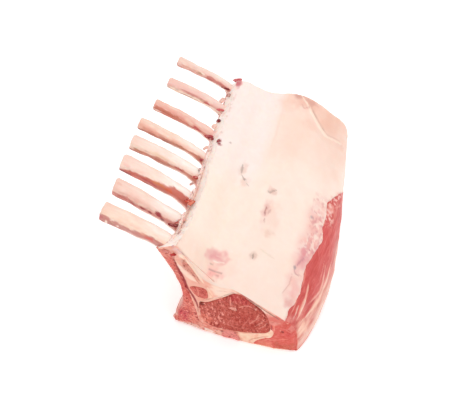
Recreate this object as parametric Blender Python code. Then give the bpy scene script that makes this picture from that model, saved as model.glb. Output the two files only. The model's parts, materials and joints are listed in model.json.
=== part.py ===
import math

import bmesh
import bpy
import numpy as np

# Raw rack of lamb: eight frenched ribs, the loin eye and its lesser muscles under a cap of fat.
# It stands on its flat chine side. X runs from the rib tips to the back, Y along the spine, Z up.

OBJECT_NAME = "rack_of_lamb"

# Driving dimensions
LENGTH_MM = 165.0  # along the spine, between the two cut faces
GAP_MM = 0.3  # clearance between touching pieces

# Every other size is in drawing units: the rack is drawn 180 long and scaled to its real length
DRAWN_LENGTH = 180.0
UNIT = 0.001 * LENGTH_MM / DRAWN_LENGTH  # metres
GAP = 0.001 * GAP_MM / UNIT

BASE_WIDTH = 99.0  # of the near cut face, along its foot
FACE_CROWN = 4.0  # how far the near cut face bellies out at mid width
OVERRUN = 10.0  # how far a loft runs past what it is trimmed to
STATIONS = 9  # cross-sections along the length
RISE_POWER = 0.52  # the cap rises fast behind the near face, then slowly
SWELL_POWER = 0.7  # the widest place lies a little nearer than mid length

# An outline row is (near x, near z, far x, far z, swell x, swell z). A point goes from its near
# place to its far one along the spine, and swells outward between the two.
RIB_SIDE = (
    (0, 0, 0, 0, 0, 0),
    (-1.5, 6, -1, 6, 0, 0),
    (4.2, 18, 4.4, 18, 0, 0),
    (7.3, 32, 7.3, 32, 0, 0),
    (6.6, 47, 6.6, 47, 0, 0),
    (1.7, 63, 2, 61, 0, 0),
    (-5, 78, -4, 74.5, 1, 1),
    (-12, 91, -10, 84.5, 2, 1),
)
FAT_SIDE = (
    (4.5, 100, -2, 93.5, 2, 0),
    (9, 95, 7, 93.8, 0, 0),
    (15, 84.5, 14, 91, 0, 2.5),
    (24, 69, 23, 88, 1, 1),
    (38, 65, 34, 88.5, 1, 1),
    (49, 66, 44.5, 91.3, 2, -2),
    (66, 55.5, 59, 90, 5, -1),
    (84, 43, 76, 79.5, 10, -3),
    (94, 30, 90.5, 64, 12, -6),
    (98.5, 14, 90.5, 34, 15, -4),
    (BASE_WIDTH, 0, 88, 0, 15, 0),
)

# How far the flesh is scraped back along the ribs, as (y, distance), and how that moves the rib
# side's last point and the fat side's first two, as shares in (x, z)
SCRAPED_BACK = ((0, 0), (9, 3.5), (24, 7.5), (60, 7.5), (90, 4), (125, 2), (180, 0))
SCRAPED_RIB_SIDE = (0.8, -0.6)
SCRAPED_FAT_SIDE = ((0.45, -0.12), (0.25, -0.05))

# Muscles and layers. Points outside the body are where the piece runs out to its surface.
LOIN_EYE = (
    (20, 30, 21, 30, 0, 0),
    (27, 42, 26, 52, 0, 0),
    (39, 53, 37, 70, 0, 0),
    (49, 62, 52, 79, 2, 0),
    (62, 57, 67, 77, 3, -2),
    (72.5, 45, 78, 62, 4, 0),
    (78, 31, 82, 42, 4, 0),
    (75, 21.5, 77, 27, 4, 0),
    (60, 15, 64, 17, 2, 0),
    (46, 12.5, 48, 13, 0, 0),
    (31, 11, 34, 11, 0, 0),
    (22, 18, 24, 17, 0, 0),
)
CAP_MUSCLE_UPPER = (
    (9.5, 83.5, 6, 84, 0, 0),
    (13, 82, 13, 84.5, 0, 1),
    (17, 75.5, 24, 81, 0, 2),
    (23.5, 62.5, 27, 77.5, 0, 2),
    (20, 62.5, 16, 79.5, 0, 2),
    (13, 75.5, 6, 80, 0, 1),
)
CAP_MUSCLE_LOWER = (
    (16, 53, 14.5, 60, 0, 0),
    (22.5, 57.5, 20, 70, 0, 0),
    (26.5, 55, 26, 73, 0, 0),
    (28, 49.5, 27.5, 66, 0, 0),
    (24, 43.5, 21, 55, 0, 0),
    (18.5, 43.5, 16.5, 53, 0, 0),
)
CHINE_MUSCLE = (
    (39, 4, 40, 5, 0, 0),
    (42.5, 10, 45, 9.5, 0, 0),
    (49, 10, 52, 9.5, 0, 0),
    (53.5, 5, 57, 4, 0, 0),
    (53.5, -10, 57, -10, 0, 0),
    (39, -10, 40, -10, 0, 0),
)
DORSAL_MUSCLE = (
    (72, 29, 78, 34, 4, 0),
    (74, 37, 84, 42, 6, 9),
    (82, 41, 90, 45, 9, 16),
    (91, 42.5, 98, 46, 10, 17),
    (125, 45, 125, 47, 0, 17),
    (125, -10, 125, -10, 0, 0),
    (67, -10, 70, -10, 4, 0),
    (66.5, 2, 70, 3, 4, 0),
    (72, 11, 79, 10, 4, 0),
    (83, 12, 85, 17, 4, 0),
)
RIB_MEAT = (
    (27, -10, 28, -10, 0, 0),
    (25.5, 9, 27, 10, 0, 0),
    (21, 17, 23, 18, 0, 0),
    (19, 28, 20, 28, 0, 0),
    (15, 44, 16, 44, 0, 0),
    (10.5, 60, 11, 59, 0, 0),
    (6, 73, 5, 71, 0, 0),
    (1.5, 84, -0.5, 80, 0, 0),
    (-6, 97, -9, 90, 0, 0),
    (-35, 100, -35, 95, 0, 0),
    (-35, 40, -35, 40, 0, 0),
    (-35, -10, -35, -10, 0, 0),
)
SEAM_FAT = (
    (22, -10, 23, -10, 0, 0),
    (18.5, 23, 19.5, 23.5, 0, 0),
    (40, 22, 42, 24, 0, 0),
    (62, 24, 64, 28, 0, 0),
    (80, 34, 86, 38, 3, 0),
    (90, 10, 95, 12, 3, 0),
    (90, -10, 93, -10, 0, 0),
)

# The path that every rib's centre line follows, as (x, z), from the chine up and over to the tip
RIB_PATH = (
    (8.5, 0),
    (11, 24),
    (9.8, 48),
    (3.2, 70),
    (-3.8, 84),
    (-13, 90.5),
    (-33, 97),
    (-56, 103),
)
RIB_ROOT = 5  # the path point at which a rib leaves the meat
RIB_SIDES = 8
RIB_STEPS = 2
RIB_FLATNESS = 0.7  # thickness over width of the bare bone
RIB_RELIEF = 1.4  # how far the ribs stand out of the meat on the chest side, more or less
RIB_WIDTH_IN_MEAT = 0.82  # width at the chine over width at the tip
RIB_CHESTWARD = (0.3, 1, 1, 1, 0.8, 0.5, 0, 0)  # how much of that shift each path point takes
# Each rib from the far end: y where it leaves the meat, y of its tip, how far its tip reaches
# past the common path, and its width
RIBS = (
    (175.2, 177, -4.5, 8.9),
    (150, 151.5, -5, 10.2),
    (121, 125, -3.5, 10.2),
    (97, 102.5, 2, 10.6),
    (78, 82, 2, 13),
    (54.5, 60.5, 2, 14.6),
    (31, 36.5, -2.5, 14.8),
    (9.5, 12, -2, 15.6),
)
THICKEST_RIB = max(width for *_, width in RIBS) / 2 * RIB_FLATNESS

# Colour, roughness and metallic value of each kind of tissue
FAT = ("fat", (0.93, 0.79, 0.69), 0.42, 0.0)
SEAM = ("seam_fat", (0.86, 0.58, 0.42), 0.4, 0.0)
EYE = ("loin_muscle", (0.51, 0.12, 0.09), 0.38, 0.0)
RED_MUSCLE = ("surface_muscle", (0.66, 0.16, 0.12), 0.38, 0.0)
PINK_MUSCLE = ("cap_muscle", (0.72, 0.24, 0.18), 0.4, 0.0)
RIB_TISSUE = ("rib_meat", (0.68, 0.2, 0.15), 0.42, 0.0)
BONE = ("rib_bone", (0.88, 0.58, 0.45), 0.38, 0.0)


def clear_scene():
    for thing in list(bpy.data.objects):
        bpy.data.objects.remove(thing, do_unlink=True)


def make_collection(name):
    group = bpy.data.collections.new(name)
    bpy.context.scene.collection.children.link(group)
    return group


def make_material(name, colour, roughness, metallic):
    material = bpy.data.materials.get(name)
    if material:
        return material
    material = bpy.data.materials.new(name)
    material.use_nodes = True
    shader = material.node_tree.nodes["Principled BSDF"]
    shader.inputs["Base Color"].default_value = (*colour, 1.0)
    shader.inputs["Roughness"].default_value = roughness
    shader.inputs["Metallic"].default_value = metallic
    return material


def smooth_run(points, steps):
    # A Catmull-Rom curve through the points, with the given number of steps to each span
    points = np.asarray(points, float)
    before = 2 * points[0] - points[1]
    after = 2 * points[-1] - points[-2]
    held = np.vstack([before, points, after])
    curve = []
    for first in range(len(points) - 1):
        a, b, c, d = held[first : first + 4]
        for step in range(steps):
            t = step / steps
            curve.append(
                0.5 * (2 * b + (c - a) * t + (2 * a - 5 * b + 4 * c - d) * t**2)
                + 0.5 * (3 * b - a - 3 * c + d) * t**3
            )
    curve.append(points[-1])
    return np.array(curve)


def smooth_loop(points, steps):
    points = np.asarray(points, float)
    wrapped = np.vstack([points[-2:], points, points[:3]])
    curve = smooth_run(wrapped, steps)
    start = 2 * steps
    return curve[start : start + len(points) * steps]


def rows_at(rows, y):
    # The outline's points in the cross-section at y
    table = np.array(rows, float)
    along = min(max(y / DRAWN_LENGTH, 0.0), 1.0)
    rise = along**RISE_POWER
    swell = math.sin(math.pi * along**SWELL_POWER)
    return table[:, 0:2] * (1 - rise) + table[:, 2:4] * rise + table[:, 4:6] * swell


def body_outline(y):
    places, distances = zip(*SCRAPED_BACK)
    back = np.interp(y, places, distances)
    rib_points = rows_at(RIB_SIDE, y)
    fat_points = rows_at(FAT_SIDE, y)
    rib_points[-1] += back * np.array(SCRAPED_RIB_SIDE)
    fat_points[:2] += back * np.array(SCRAPED_FAT_SIDE)
    return np.vstack([smooth_run(rib_points, 2), smooth_run(fat_points, 3)])


def muscle_outline(rows, y, grow):
    loop = smooth_loop(rows_at(rows, y), 2)
    ahead = np.roll(loop, -1, axis=0) - np.roll(loop, 1, axis=0)
    outward = np.stack([-ahead[:, 1], ahead[:, 0]], axis=1)
    outward /= np.linalg.norm(outward, axis=1, keepdims=True)
    turning = np.sum(loop[:, 0] * np.roll(loop[:, 1], -1) - loop[:, 1] * np.roll(loop[:, 0], -1))
    return loop - math.copysign(grow, turning) * outward


def face_crown(x):
    across = min(max(x / BASE_WIDTH, 0.0), 1.0)
    return -FACE_CROWN * math.sin(math.pi * across)


def section_places():
    # Closer together behind the near face, where the cap rises fast
    inside = [DRAWN_LENGTH * (station / (STATIONS - 1)) ** 1.5 for station in range(STATIONS)]
    return [-OVERRUN, *inside, DRAWN_LENGTH + OVERRUN]


def rings_along(outline):
    rings = []
    for y in section_places():
        section = outline(y)
        rings.append([(x, y, z) for x, z in section])
    return rings


def make_loft(name, rings, group, material=None):
    # A closed skin over a row of rings that all have the same number of points
    mesh = bpy.data.meshes.new(name)
    build = bmesh.new()
    loops = [[build.verts.new([value * UNIT for value in point]) for point in ring] for ring in rings]
    count = len(loops[0])
    for ring, following in zip(loops, loops[1:]):
        for index in range(count):
            after = (index + 1) % count
            # Split the same way in a piece and in its room, so that the gap between them stays even
            build.faces.new((ring[index], ring[after], following[after]))
            build.faces.new((ring[index], following[after], following[index]))
    build.faces.new(loops[0])
    build.faces.new(loops[-1])
    bmesh.ops.recalc_face_normals(build, faces=build.faces)
    build.to_mesh(mesh)
    build.free()
    mesh.shade_smooth()
    mesh.set_sharp_from_angle(angle=math.radians(40))
    piece = bpy.data.objects.new(name, mesh)
    group.objects.link(piece)
    if material:
        mesh.materials.append(make_material(*material))
    return piece


def make_cutter(name, rings, group):
    cutter = make_loft(name, rings, group)
    cutter.hide_render = True
    cutter.display_type = "WIRE"
    return cutter


def add_boolean(piece, operation, other):
    boolean = piece.modifiers.new(operation.lower() + "_" + other.name, "BOOLEAN")
    boolean.operation = operation
    boolean.object = other
    boolean.solver = "EXACT"


def make_trim(group):
    # What lies between the two cuts across the spine
    across = np.linspace(-40, 140, 37)
    near = [(x, face_crown(x)) for x in across]
    far = [(x, DRAWN_LENGTH) for x in across[::-1]]
    outline = near + far
    return make_cutter("trim", [[(x, y, z) for x, y in outline] for z in (-20, 140)], group)


def make_body(group):
    body = make_cutter("body", rings_along(body_outline), group)
    add_boolean(body, "INTERSECT", make_trim(group))
    return body


def rib_rings(root_y, tip_y, reach, width, grow):
    path = np.array(RIB_PATH, float)
    last = len(path) - 1
    out_of_meat = np.clip((np.arange(last + 1) - RIB_ROOT) / (last - RIB_ROOT), 0, 1)
    half_thickness_bare = width / 2 * RIB_FLATNESS
    # A thin rib lies nearer to the chest side, so that every rib shows there as a low ridge
    chestward = RIB_RELIEF + THICKEST_RIB - half_thickness_bare
    path[:, 0] -= reach * out_of_meat + chestward * np.array(RIB_CHESTWARD)
    y = root_y + (tip_y - root_y) * out_of_meat
    # In the meat a rib is narrower and rounder than where it is bare
    bare = np.clip(np.arange(last + 1) / RIB_ROOT, 0, 1)
    half_width = width / 2 * (RIB_WIDTH_IN_MEAT + (1 - RIB_WIDTH_IN_MEAT) * bare)
    half_thickness = half_thickness_bare * (0.9 + 0.1 * bare)
    line = smooth_run(np.column_stack([path, y, half_width, half_thickness]), RIB_STEPS)
    ahead = np.gradient(line[:, 0:2], axis=0)
    ahead[0] = (0, 1)  # sawn off level at the chine
    ahead /= np.linalg.norm(ahead, axis=1, keepdims=True)
    rings = []
    for (x, z, centre_y, wide, thick), (ahead_x, ahead_z) in zip(line, ahead):
        ring = []
        for side in range(RIB_SIDES):
            angle = 2 * math.pi * (side + 0.5) / RIB_SIDES
            away = (thick + grow) * math.cos(angle)
            along_y = (wide + grow) * math.sin(angle)
            ring.append((x + away * ahead_z, centre_y + along_y, z - away * ahead_x))
        rings.append(ring)
    return rings


def round_tip(rings, inset):
    # Ends the rib in a slightly smaller ring, so that the sawn tip has a soft rim
    last = np.array(rings[-1])
    step = last.mean(axis=0) - np.array(rings[-2]).mean(axis=0)
    step *= inset / np.linalg.norm(step)
    centre = last.mean(axis=0)
    shrunk = centre + (last - centre) * (1 - inset / np.abs(last - centre).max())
    return [*rings, [tuple(point) for point in shrunk + step]]


def sink_foot(rings, depth):
    # A cutter's foot goes below the piece that it cuts
    return [[(x, y, z - depth) for x, y, z in rings[0]], *rings]


def build_rack():
    parts = make_collection(OBJECT_NAME)
    cutters = make_collection("cutters")
    body = make_body(cutters)

    rib_rooms = []
    for number, (root_y, tip_y, reach, width) in enumerate(RIBS, start=1):
        name = f"rib_{number}"
        bone = rib_rings(root_y, tip_y, reach, width, 0)
        make_loft(name, round_tip(bone, 1.2), parts, BONE)
        room = rib_rings(root_y, tip_y, reach, width, GAP)
        rib_rooms.append(make_cutter(name + "_room", sink_foot(room, OVERRUN), cutters))

    # Each piece leaves room for those before it in the list
    pieces = (
        ("loin_eye", LOIN_EYE, EYE, ()),
        ("cap_muscle_upper", CAP_MUSCLE_UPPER, PINK_MUSCLE, ()),
        ("cap_muscle_lower", CAP_MUSCLE_LOWER, PINK_MUSCLE, ()),
        ("chine_muscle", CHINE_MUSCLE, RED_MUSCLE, ()),
        ("dorsal_muscle", DORSAL_MUSCLE, RED_MUSCLE, ("loin_eye",)),
        ("rib_meat", RIB_MEAT, RIB_TISSUE, ("loin_eye",)),
        ("seam_fat", SEAM_FAT, SEAM, ("loin_eye", "chine_muscle", "dorsal_muscle", "rib_meat")),
    )
    rooms = {}
    for name, rows, material, neighbours in pieces:
        piece = make_loft(name, rings_along(lambda y: muscle_outline(rows, y, 0)), parts, material)
        add_boolean(piece, "INTERSECT", body)
        for neighbour in neighbours:
            add_boolean(piece, "DIFFERENCE", rooms[neighbour])
        if name == "rib_meat":
            for room in rib_rooms:
                add_boolean(piece, "DIFFERENCE", room)
        grown = rings_along(lambda y: muscle_outline(rows, y, GAP))
        rooms[name] = make_cutter(name + "_room", grown, cutters)

    fat_cap = make_loft("fat_cap", rings_along(body_outline), parts, FAT)
    add_boolean(fat_cap, "INTERSECT", bpy.data.objects["trim"])
    for room in [*rooms.values(), *rib_rooms]:
        add_boolean(fat_cap, "DIFFERENCE", room)
    return parts, cutters


def centre_on_foot(parts, cutters):
    # Puts the origin at the middle of the foot of the whole object's box
    bpy.context.view_layer.update()
    graph = bpy.context.evaluated_depsgraph_get()
    corners = np.vstack([np.array(piece.evaluated_get(graph).bound_box) for piece in parts.objects])
    lowest, highest = corners.min(axis=0), corners.max(axis=0)
    centre = (lowest + highest) / 2
    root = bpy.data.objects.new(OBJECT_NAME, None)
    parts.objects.link(root)
    for piece in [*parts.objects, *cutters.objects]:
        if piece is not root:
            piece.parent = root
    root.location = (-centre[0], -centre[1], -lowest[2])


def main():
    clear_scene()
    parts, cutters = build_rack()
    centre_on_foot(parts, cutters)


main()
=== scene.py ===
# A raw rack of lamb with its cap on: eight scraped ribs, the loin eye and the lesser muscles under
# the fat. Shapes are worked out in drawing units, with X from the rib tips to the back, Y along the
# spine from the near cut face and Z up, and are then scaled and set where the CAD model stands.
import json
import math
from types import SimpleNamespace

import bpy
import numpy as np
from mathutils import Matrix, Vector
from mathutils.geometry import delaunay_2d_cdt

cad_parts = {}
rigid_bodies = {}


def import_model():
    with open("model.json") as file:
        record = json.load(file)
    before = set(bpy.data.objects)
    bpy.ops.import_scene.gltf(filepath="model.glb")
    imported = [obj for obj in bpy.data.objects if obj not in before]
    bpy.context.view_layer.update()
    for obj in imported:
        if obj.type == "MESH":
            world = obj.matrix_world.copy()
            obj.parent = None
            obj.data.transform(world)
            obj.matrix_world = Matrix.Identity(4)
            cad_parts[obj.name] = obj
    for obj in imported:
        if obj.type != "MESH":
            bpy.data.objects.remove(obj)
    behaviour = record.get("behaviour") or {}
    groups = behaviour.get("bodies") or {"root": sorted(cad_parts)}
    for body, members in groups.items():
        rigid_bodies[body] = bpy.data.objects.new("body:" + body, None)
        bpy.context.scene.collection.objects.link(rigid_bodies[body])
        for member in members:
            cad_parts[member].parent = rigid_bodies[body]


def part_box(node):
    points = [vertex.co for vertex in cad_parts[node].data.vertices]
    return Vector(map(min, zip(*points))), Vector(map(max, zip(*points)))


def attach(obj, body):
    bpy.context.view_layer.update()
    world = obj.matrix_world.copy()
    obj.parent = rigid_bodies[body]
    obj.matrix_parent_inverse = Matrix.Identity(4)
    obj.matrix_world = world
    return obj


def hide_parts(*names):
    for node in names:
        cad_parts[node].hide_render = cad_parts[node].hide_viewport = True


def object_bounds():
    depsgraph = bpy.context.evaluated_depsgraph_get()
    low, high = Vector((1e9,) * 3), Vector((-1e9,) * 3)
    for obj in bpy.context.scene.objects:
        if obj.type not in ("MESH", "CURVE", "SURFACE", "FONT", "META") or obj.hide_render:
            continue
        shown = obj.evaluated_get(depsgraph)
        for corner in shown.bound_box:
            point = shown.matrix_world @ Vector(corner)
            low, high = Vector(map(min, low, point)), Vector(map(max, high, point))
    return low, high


for startupThing in list(bpy.data.objects):
    bpy.data.objects.remove(startupThing, do_unlink=True)
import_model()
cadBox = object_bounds()

rack = {
    "drawnLength": 180.0,  # drawing units between the two cut faces
    "realLength": 0.165,  # metres between them
    "footWidth": 99.0,
    "capPoints": 176,  # in each cross-section of the cap, from its frenched edge to the foot
    "footCorner": 60.073,  # from the furthest rib tip to the chest-side corner of the foot
    "faceCrown": 4.0,  # how far the near cut face bellies out
    "crownFade": 12.0,
    "risePower": 0.52,
    "swellPower": 0.7,
    "backBulge": 1.6,  # how far the lower back stands out at mid length
    "scrapedBack": ((0, 0), (9, 3.5), (24, 7.5), (60, 7.5), (90, 4), (125, 2), (180, 0)),  # at y
}
unit = rack["realLength"] / rack["drawnLength"]
mm = 0.001 / unit  # drawing units in one millimetre
length = rack["drawnLength"]
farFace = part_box("fat_cap")[1].y
origin = np.array([cadBox[0].x + rack["footCorner"] * unit, farFace - length * unit, cadBox[0].z])

# An outline row is (near x, near z, far x, far z), with (swell x, swell z) where it bellies out midway
ribSide = (
    (0, 0, 0, 0), (-1.5, 6, -1, 6), (4.2, 18, 4.4, 18), (7.3, 32, 7.3, 32), (6.6, 47, 6.6, 47),
    (1.7, 63, 2, 61), (-5, 78, -4, 74.5, 1, 1), (-12, 91, -10, 84.5, 2, 1),
)
fatSide = (
    (4.5, 100, -2, 93.5, 2, 0), (9, 95, 7, 93.8), (15, 84.5, 14, 91, 0, 2.5), (24, 69, 23, 88, 1, 1),
    (38, 65, 34, 88.5, 1, 1), (49, 66, 44.5, 91.3, 2, -2), (66, 55.5, 59, 90, 5, -1),
    (84, 43, 76, 79.5, 10, -3), (94, 30, 90.5, 64, 12, -6), (98.5, 14, 90.5, 34, 15, -4),
    (99, 0, 88, 0, 15, 0),
)


def linearFromHex(code):
    # sRGB hex to the linear values that shaders and attributes take
    values = np.array([int(code[i : i + 2], 16) for i in (1, 3, 5)]) / 255
    return np.where(values <= 0.04045, values / 12.92, ((values + 0.055) / 1.055) ** 2.4)


def softStep(value, low=0.0, high=1.0):
    t = np.clip((value - low) / (high - low), 0, 1)
    return t * t * (3 - 2 * t)


def lumps(points, size, seed, layers=1):
    # A smooth random field from about -1 to 1, with lumps about size across
    points = np.asarray(points, float)
    total = np.zeros(len(points))
    cells = 32  # the field repeats after this many
    for layer in range(layers):
        table = np.random.default_rng(seed + 101 * layer).uniform(-1, 1, (cells, cells, cells))
        scaled = points / size * 2**layer + 37.3
        cell = np.floor(scaled).astype(int)
        part = scaled - cell
        part = part * part * (3 - 2 * part)
        value = 0
        for corner in range(8):
            step = np.array([corner & 1, corner >> 1 & 1, corner >> 2 & 1])
            weight = np.prod(np.where(step, part, 1 - part), axis=1)
            index = (cell + step) % cells
            value = value + weight * table[index[:, 0], index[:, 1], index[:, 2]]
        total += value * 0.5**layer
    return total * 1.3


def smoothRun(points, steps):
    # A Catmull-Rom curve through the points, on every cross-section at once
    points = np.asarray(points, float)
    before = 2 * points[..., :1, :] - points[..., 1:2, :]
    after = 2 * points[..., -1:, :] - points[..., -2:-1, :]
    held = np.concatenate([before, points, after], axis=-2)
    spans = points.shape[-2] - 1
    a, b, c, d = (held[..., first : first + spans, None, :] for first in range(4))
    t = (np.arange(steps) / steps)[:, None]
    curve = 0.5 * (2 * b + (c - a) * t + (2 * a - 5 * b + 4 * c - d) * t**2)
    curve = curve + 0.5 * (3 * b - a - 3 * c + d) * t**3
    curve = curve.reshape(*curve.shape[:-3], -1, curve.shape[-1])
    return np.concatenate([curve, points[..., -1:, :]], axis=-2)


def runLength(curve):
    steps = np.linalg.norm(np.diff(curve, axis=-2), axis=-1)
    start = np.zeros((*steps.shape[:-1], 1))
    return np.concatenate([start, np.cumsum(steps, axis=-1)], axis=-1)


def columnsAt(wanted, lengths, values):
    return np.stack([np.interp(wanted, lengths, column) for column in values.T], axis=-1)


def evenRun(curve, count):
    # The same number of points on each cross-section, evenly spaced along it
    rows = zip(runLength(curve), curve)
    return np.stack([columnsAt(np.linspace(0, lengths[-1], count), lengths, row) for lengths, row in rows])


def bridge(first, last, count):
    # Evenly spaced points between the end of one run and the start of the next
    share = np.linspace(0, 1, count + 2)[None, 1:-1, None]
    return first[:, -1:] * (1 - share) + last[:, :1] * share


def rowsAt(rows, y):
    # The outline's control points in the cross-sections at y
    table = np.array([(*row, 0, 0)[:6] for row in rows], float)
    along = np.clip(np.asarray(y, float) / length, 0, 1)[:, None, None]
    rise = along ** rack["risePower"]
    swell = np.sin(math.pi * along ** rack["swellPower"])
    return table[:, 0:2] * (1 - rise) + table[:, 2:4] * rise + table[:, 4:6] * swell


def chestRows(y):
    # The flesh is scraped back along the ribs, by an amount that changes along the spine
    points = rowsAt(ribSide, y)
    points[:, -1] += np.interp(y, *zip(*rack["scrapedBack"]))[:, None] * np.array((0.8, -0.6))
    return points


def capRun(y):
    # The cap from its frenched edge down the back, and the length along it on each cross-section
    points = rowsAt(fatSide, y)
    whole = runLength(smoothRun(points, 16))[:, -1:]
    back = np.interp(y, *zip(*rack["scrapedBack"]))[:, None, None]
    points[:, :2] += back * np.array(((0.45, -0.12), (0.25, -0.05)))
    run = evenRun(smoothRun(points, 16), rack["capPoints"])
    lengths = runLength(run)
    lengths = lengths + whole - lengths[:, -1:]
    bulge = rack["backBulge"] * softStep(lengths, 78, 110) * softStep(y[:, None], 4, 30)
    bulge = bulge * softStep(run[..., 1], 0, 12)
    return run - inwardFrom(run) * bulge[..., None], lengths


def inwardFrom(run):
    ahead = np.gradient(run, axis=1)
    inward = np.stack([ahead[..., 1], -ahead[..., 0]], axis=-1)
    return inward / np.linalg.norm(inward, axis=-1, keepdims=True)


def closedRun(rows, y, count):
    points = rowsAt(rows, y)
    wrapped = np.concatenate([points[:, -2:], points, points[:, :3]], axis=1)
    curve = smoothRun(wrapped, 10)[:, 20 : 20 + 10 * len(rows) + 1]
    return evenRun(curve, count + 1)[:, :-1]


def footedRun(run, footZ, count):
    # Closes an open run of points with a flat foot
    run = run.copy()
    run[..., 1] = np.maximum(run[..., 1], footZ)
    return np.concatenate([run, bridge(run, run, count)], axis=1)


def outwardOf(loops):
    ahead = np.roll(loops, -1, axis=-2) - np.roll(loops, 1, axis=-2)
    outward = np.stack([ahead[..., 1], -ahead[..., 0]], axis=-1)
    outward /= np.linalg.norm(outward, axis=-1, keepdims=True) + 1e-9
    return outward * np.sign(turning(loops))[..., None, None]


def turning(loops):
    x, z = loops[..., 0], loops[..., 1]
    return np.sum(x * np.roll(z, -1, axis=-1) - z * np.roll(x, -1, axis=-1), axis=-1) / 2


def crownAt(x, y):
    fade = np.clip(1 - y / rack["crownFade"], 0, 1) ** 2
    belly = rack["faceCrown"] * np.sin(math.pi * np.clip(x / rack["footWidth"], 0, 1))
    belly = belly + 1.1 * np.exp(-(((x - 82) / 12) ** 2))  # the lesser back muscle stands out
    return -belly * fade


def distanceTo(points, path):
    # Distance of each point to a path of straight stretches, and how far along it the place is
    path = np.asarray(path, float)
    nearest = np.full(len(points), 1e9)
    along = np.zeros(len(points))
    done = 0.0
    for start, end in zip(path, path[1:]):
        reach = end - start
        size = np.linalg.norm(reach) + 1e-9
        share = np.clip((points - start) @ reach / size**2, 0, 1)
        gap = np.linalg.norm(points - start - share[:, None] * reach, axis=1)
        closer = gap < nearest
        nearest = np.where(closer, gap, nearest)
        along = np.where(closer, done + share * size, along)
        done += size
    return nearest, along / done


def insideOf(points, loop):
    x, z = points[:, 0:1], points[:, 1:2]
    after = np.roll(loop, -1, axis=0)
    rise = after[:, 1] - loop[:, 1]
    level = (loop[:, 1] > z) != (after[:, 1] > z)
    slope = (after[:, 0] - loop[:, 0]) / np.where(rise == 0, 1, rise)
    left = x < slope * (z - loop[:, 1]) + loop[:, 0]
    return (level & left).sum(axis=1) % 2 == 1


def fillOutline(loop, spacing, seed):
    # Points inside a closed outline, their distance to it, and triangles over all of them
    low, high = loop.min(axis=0), loop.max(axis=0)
    across = np.arange(low[0], high[0], spacing)
    up = np.arange(low[1], high[1], spacing * 0.87)
    grid = np.stack(np.meshgrid(across, up), axis=-1)
    grid[1::2, :, 0] += spacing / 2
    grid = grid.reshape(-1, 2)
    grid += np.random.default_rng(seed).uniform(-0.18, 0.18, grid.shape) * spacing
    grid = grid[insideOf(grid, loop)]
    gap, _ = distanceTo(grid, np.vstack([loop, loop[:1]]))
    grid, gap = grid[gap > 0.55 * spacing], gap[gap > 0.55 * spacing]
    points = np.vstack([loop, grid])
    made = delaunay_2d_cdt([Vector(p) for p in points], [], [list(range(len(loop)))], 1, 1e-7)
    places = np.array([tuple(p) for p in made[0]])
    sources = np.array([source[0] if source else -1 for source in made[3]])
    triangles = sources[np.array(made[2])]
    corners = points[triangles]
    side = np.cross(corners[:, 1] - corners[:, 0], corners[:, 2] - corners[:, 0])
    triangles = np.where(side[:, None] < 0, triangles[:, ::-1], triangles)
    return grid, gap, triangles[np.abs(side) > 1e-9]


def wallQuads(rings, sides):
    # The points' numbers ring by ring, and the four-sided faces between the rings
    index = np.arange(rings * sides).reshape(rings, sides)
    after = np.roll(index, -1, axis=1)
    return index, np.stack([index[:-1], index[1:], after[1:], after[:-1]], axis=-1).reshape(-1, 4)


def loftSolid(loops, labels, y, face, seed):
    # A closed solid: a wall over the row of outlines, and a cut face at each end of it. The labels
    # are the lengths along the outline, where the paint needs them.
    rim, spacing = face["rim"], face["spacing"]
    rings, sides = loops.shape[:2]
    depth = np.minimum(y - y[0], y[-1] - y)
    inset = np.where(depth < rim, rim - np.sqrt(np.clip(rim**2 - (rim - depth) ** 2, 0, None)), 0)
    loops = loops - outwardOf(loops) * inset[:, None, None]
    wallY = y[:, None] + crownAt(loops[..., 0], y[:, None])
    wall = np.stack([loops[..., 0], wallY, loops[..., 1]], axis=-1).reshape(-1, 3)
    index, quads = wallQuads(rings, sides)
    if turning(loops[0]) < 0:
        quads = quads[:, ::-1]
    points, faces = [wall], quads.tolist()
    zone = [np.zeros(len(wall), int)]
    rimGap = [np.zeros(len(wall))]
    run = [(loops[..., 0] * 0 if labels is None else labels).reshape(-1)]
    ends = [np.repeat(depth, sides)]
    for which, ring in ((1, 0), (2, rings - 1)):
        inner, gap, triangles = fillOutline(loops[ring], spacing, seed + which)
        lift = face["swell"] + face["sink"]
        lift = lift * np.sin(math.pi / 2 * np.clip(gap / face["slope"], 0, 1))
        level = y[ring] + crownAt(inner[:, 0], y[ring])
        level = level - lift if which == 1 else level + lift
        start = sum(len(group) for group in points)
        lookup = np.concatenate([index[ring], start + np.arange(len(inner))])
        triangles = lookup[triangles]
        faces += (triangles if which == 1 else triangles[:, ::-1]).tolist()
        points.append(np.stack([inner[:, 0], level, inner[:, 1]], axis=-1))
        zone.append(np.full(len(inner), which))
        rimGap.append(gap)
        run.append(np.zeros(len(inner)))
        ends.append(np.zeros(len(inner)))
    return SimpleNamespace(
        points=np.vstack(points),
        faces=faces,
        zone=np.concatenate(zone),  # 0 on the wall, 1 on the near cut face and 2 on the far one
        gap=np.concatenate(rimGap),  # how far inside the rim of a cut face
        run=np.concatenate(run),  # length along the outline, on the wall
        depth=np.concatenate(ends),  # how far behind the nearer cut face
    )


# For a muscle that shows only at its two cut faces
hiddenRings = (3, 7, 14, 26, 44, 68, 96, 124, 148, 164, 173, 177)


def ringPlaces(face, spacing):
    # Cross-sections close together round both rims, then evenly spaced or at the hidden ones
    near, far, rim = face["sink"], length - face["sink"], face["rim"]
    bend = rim * (1 - np.cos(np.linspace(0, math.pi / 2, 5)))
    middle = np.arange(near + rim + 0.6, far - rim - 0.6, spacing) if spacing else hiddenRings
    return np.concatenate([near + bend, middle, (far - bend)[::-1]])


def plain(colour, points):
    return np.tile(linearFromHex(colour), (len(points), 1))


def mixInto(tint, colour, share):
    return tint + (linearFromHex(colour) - tint) * np.clip(share, 0, 1)[:, None]


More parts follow.
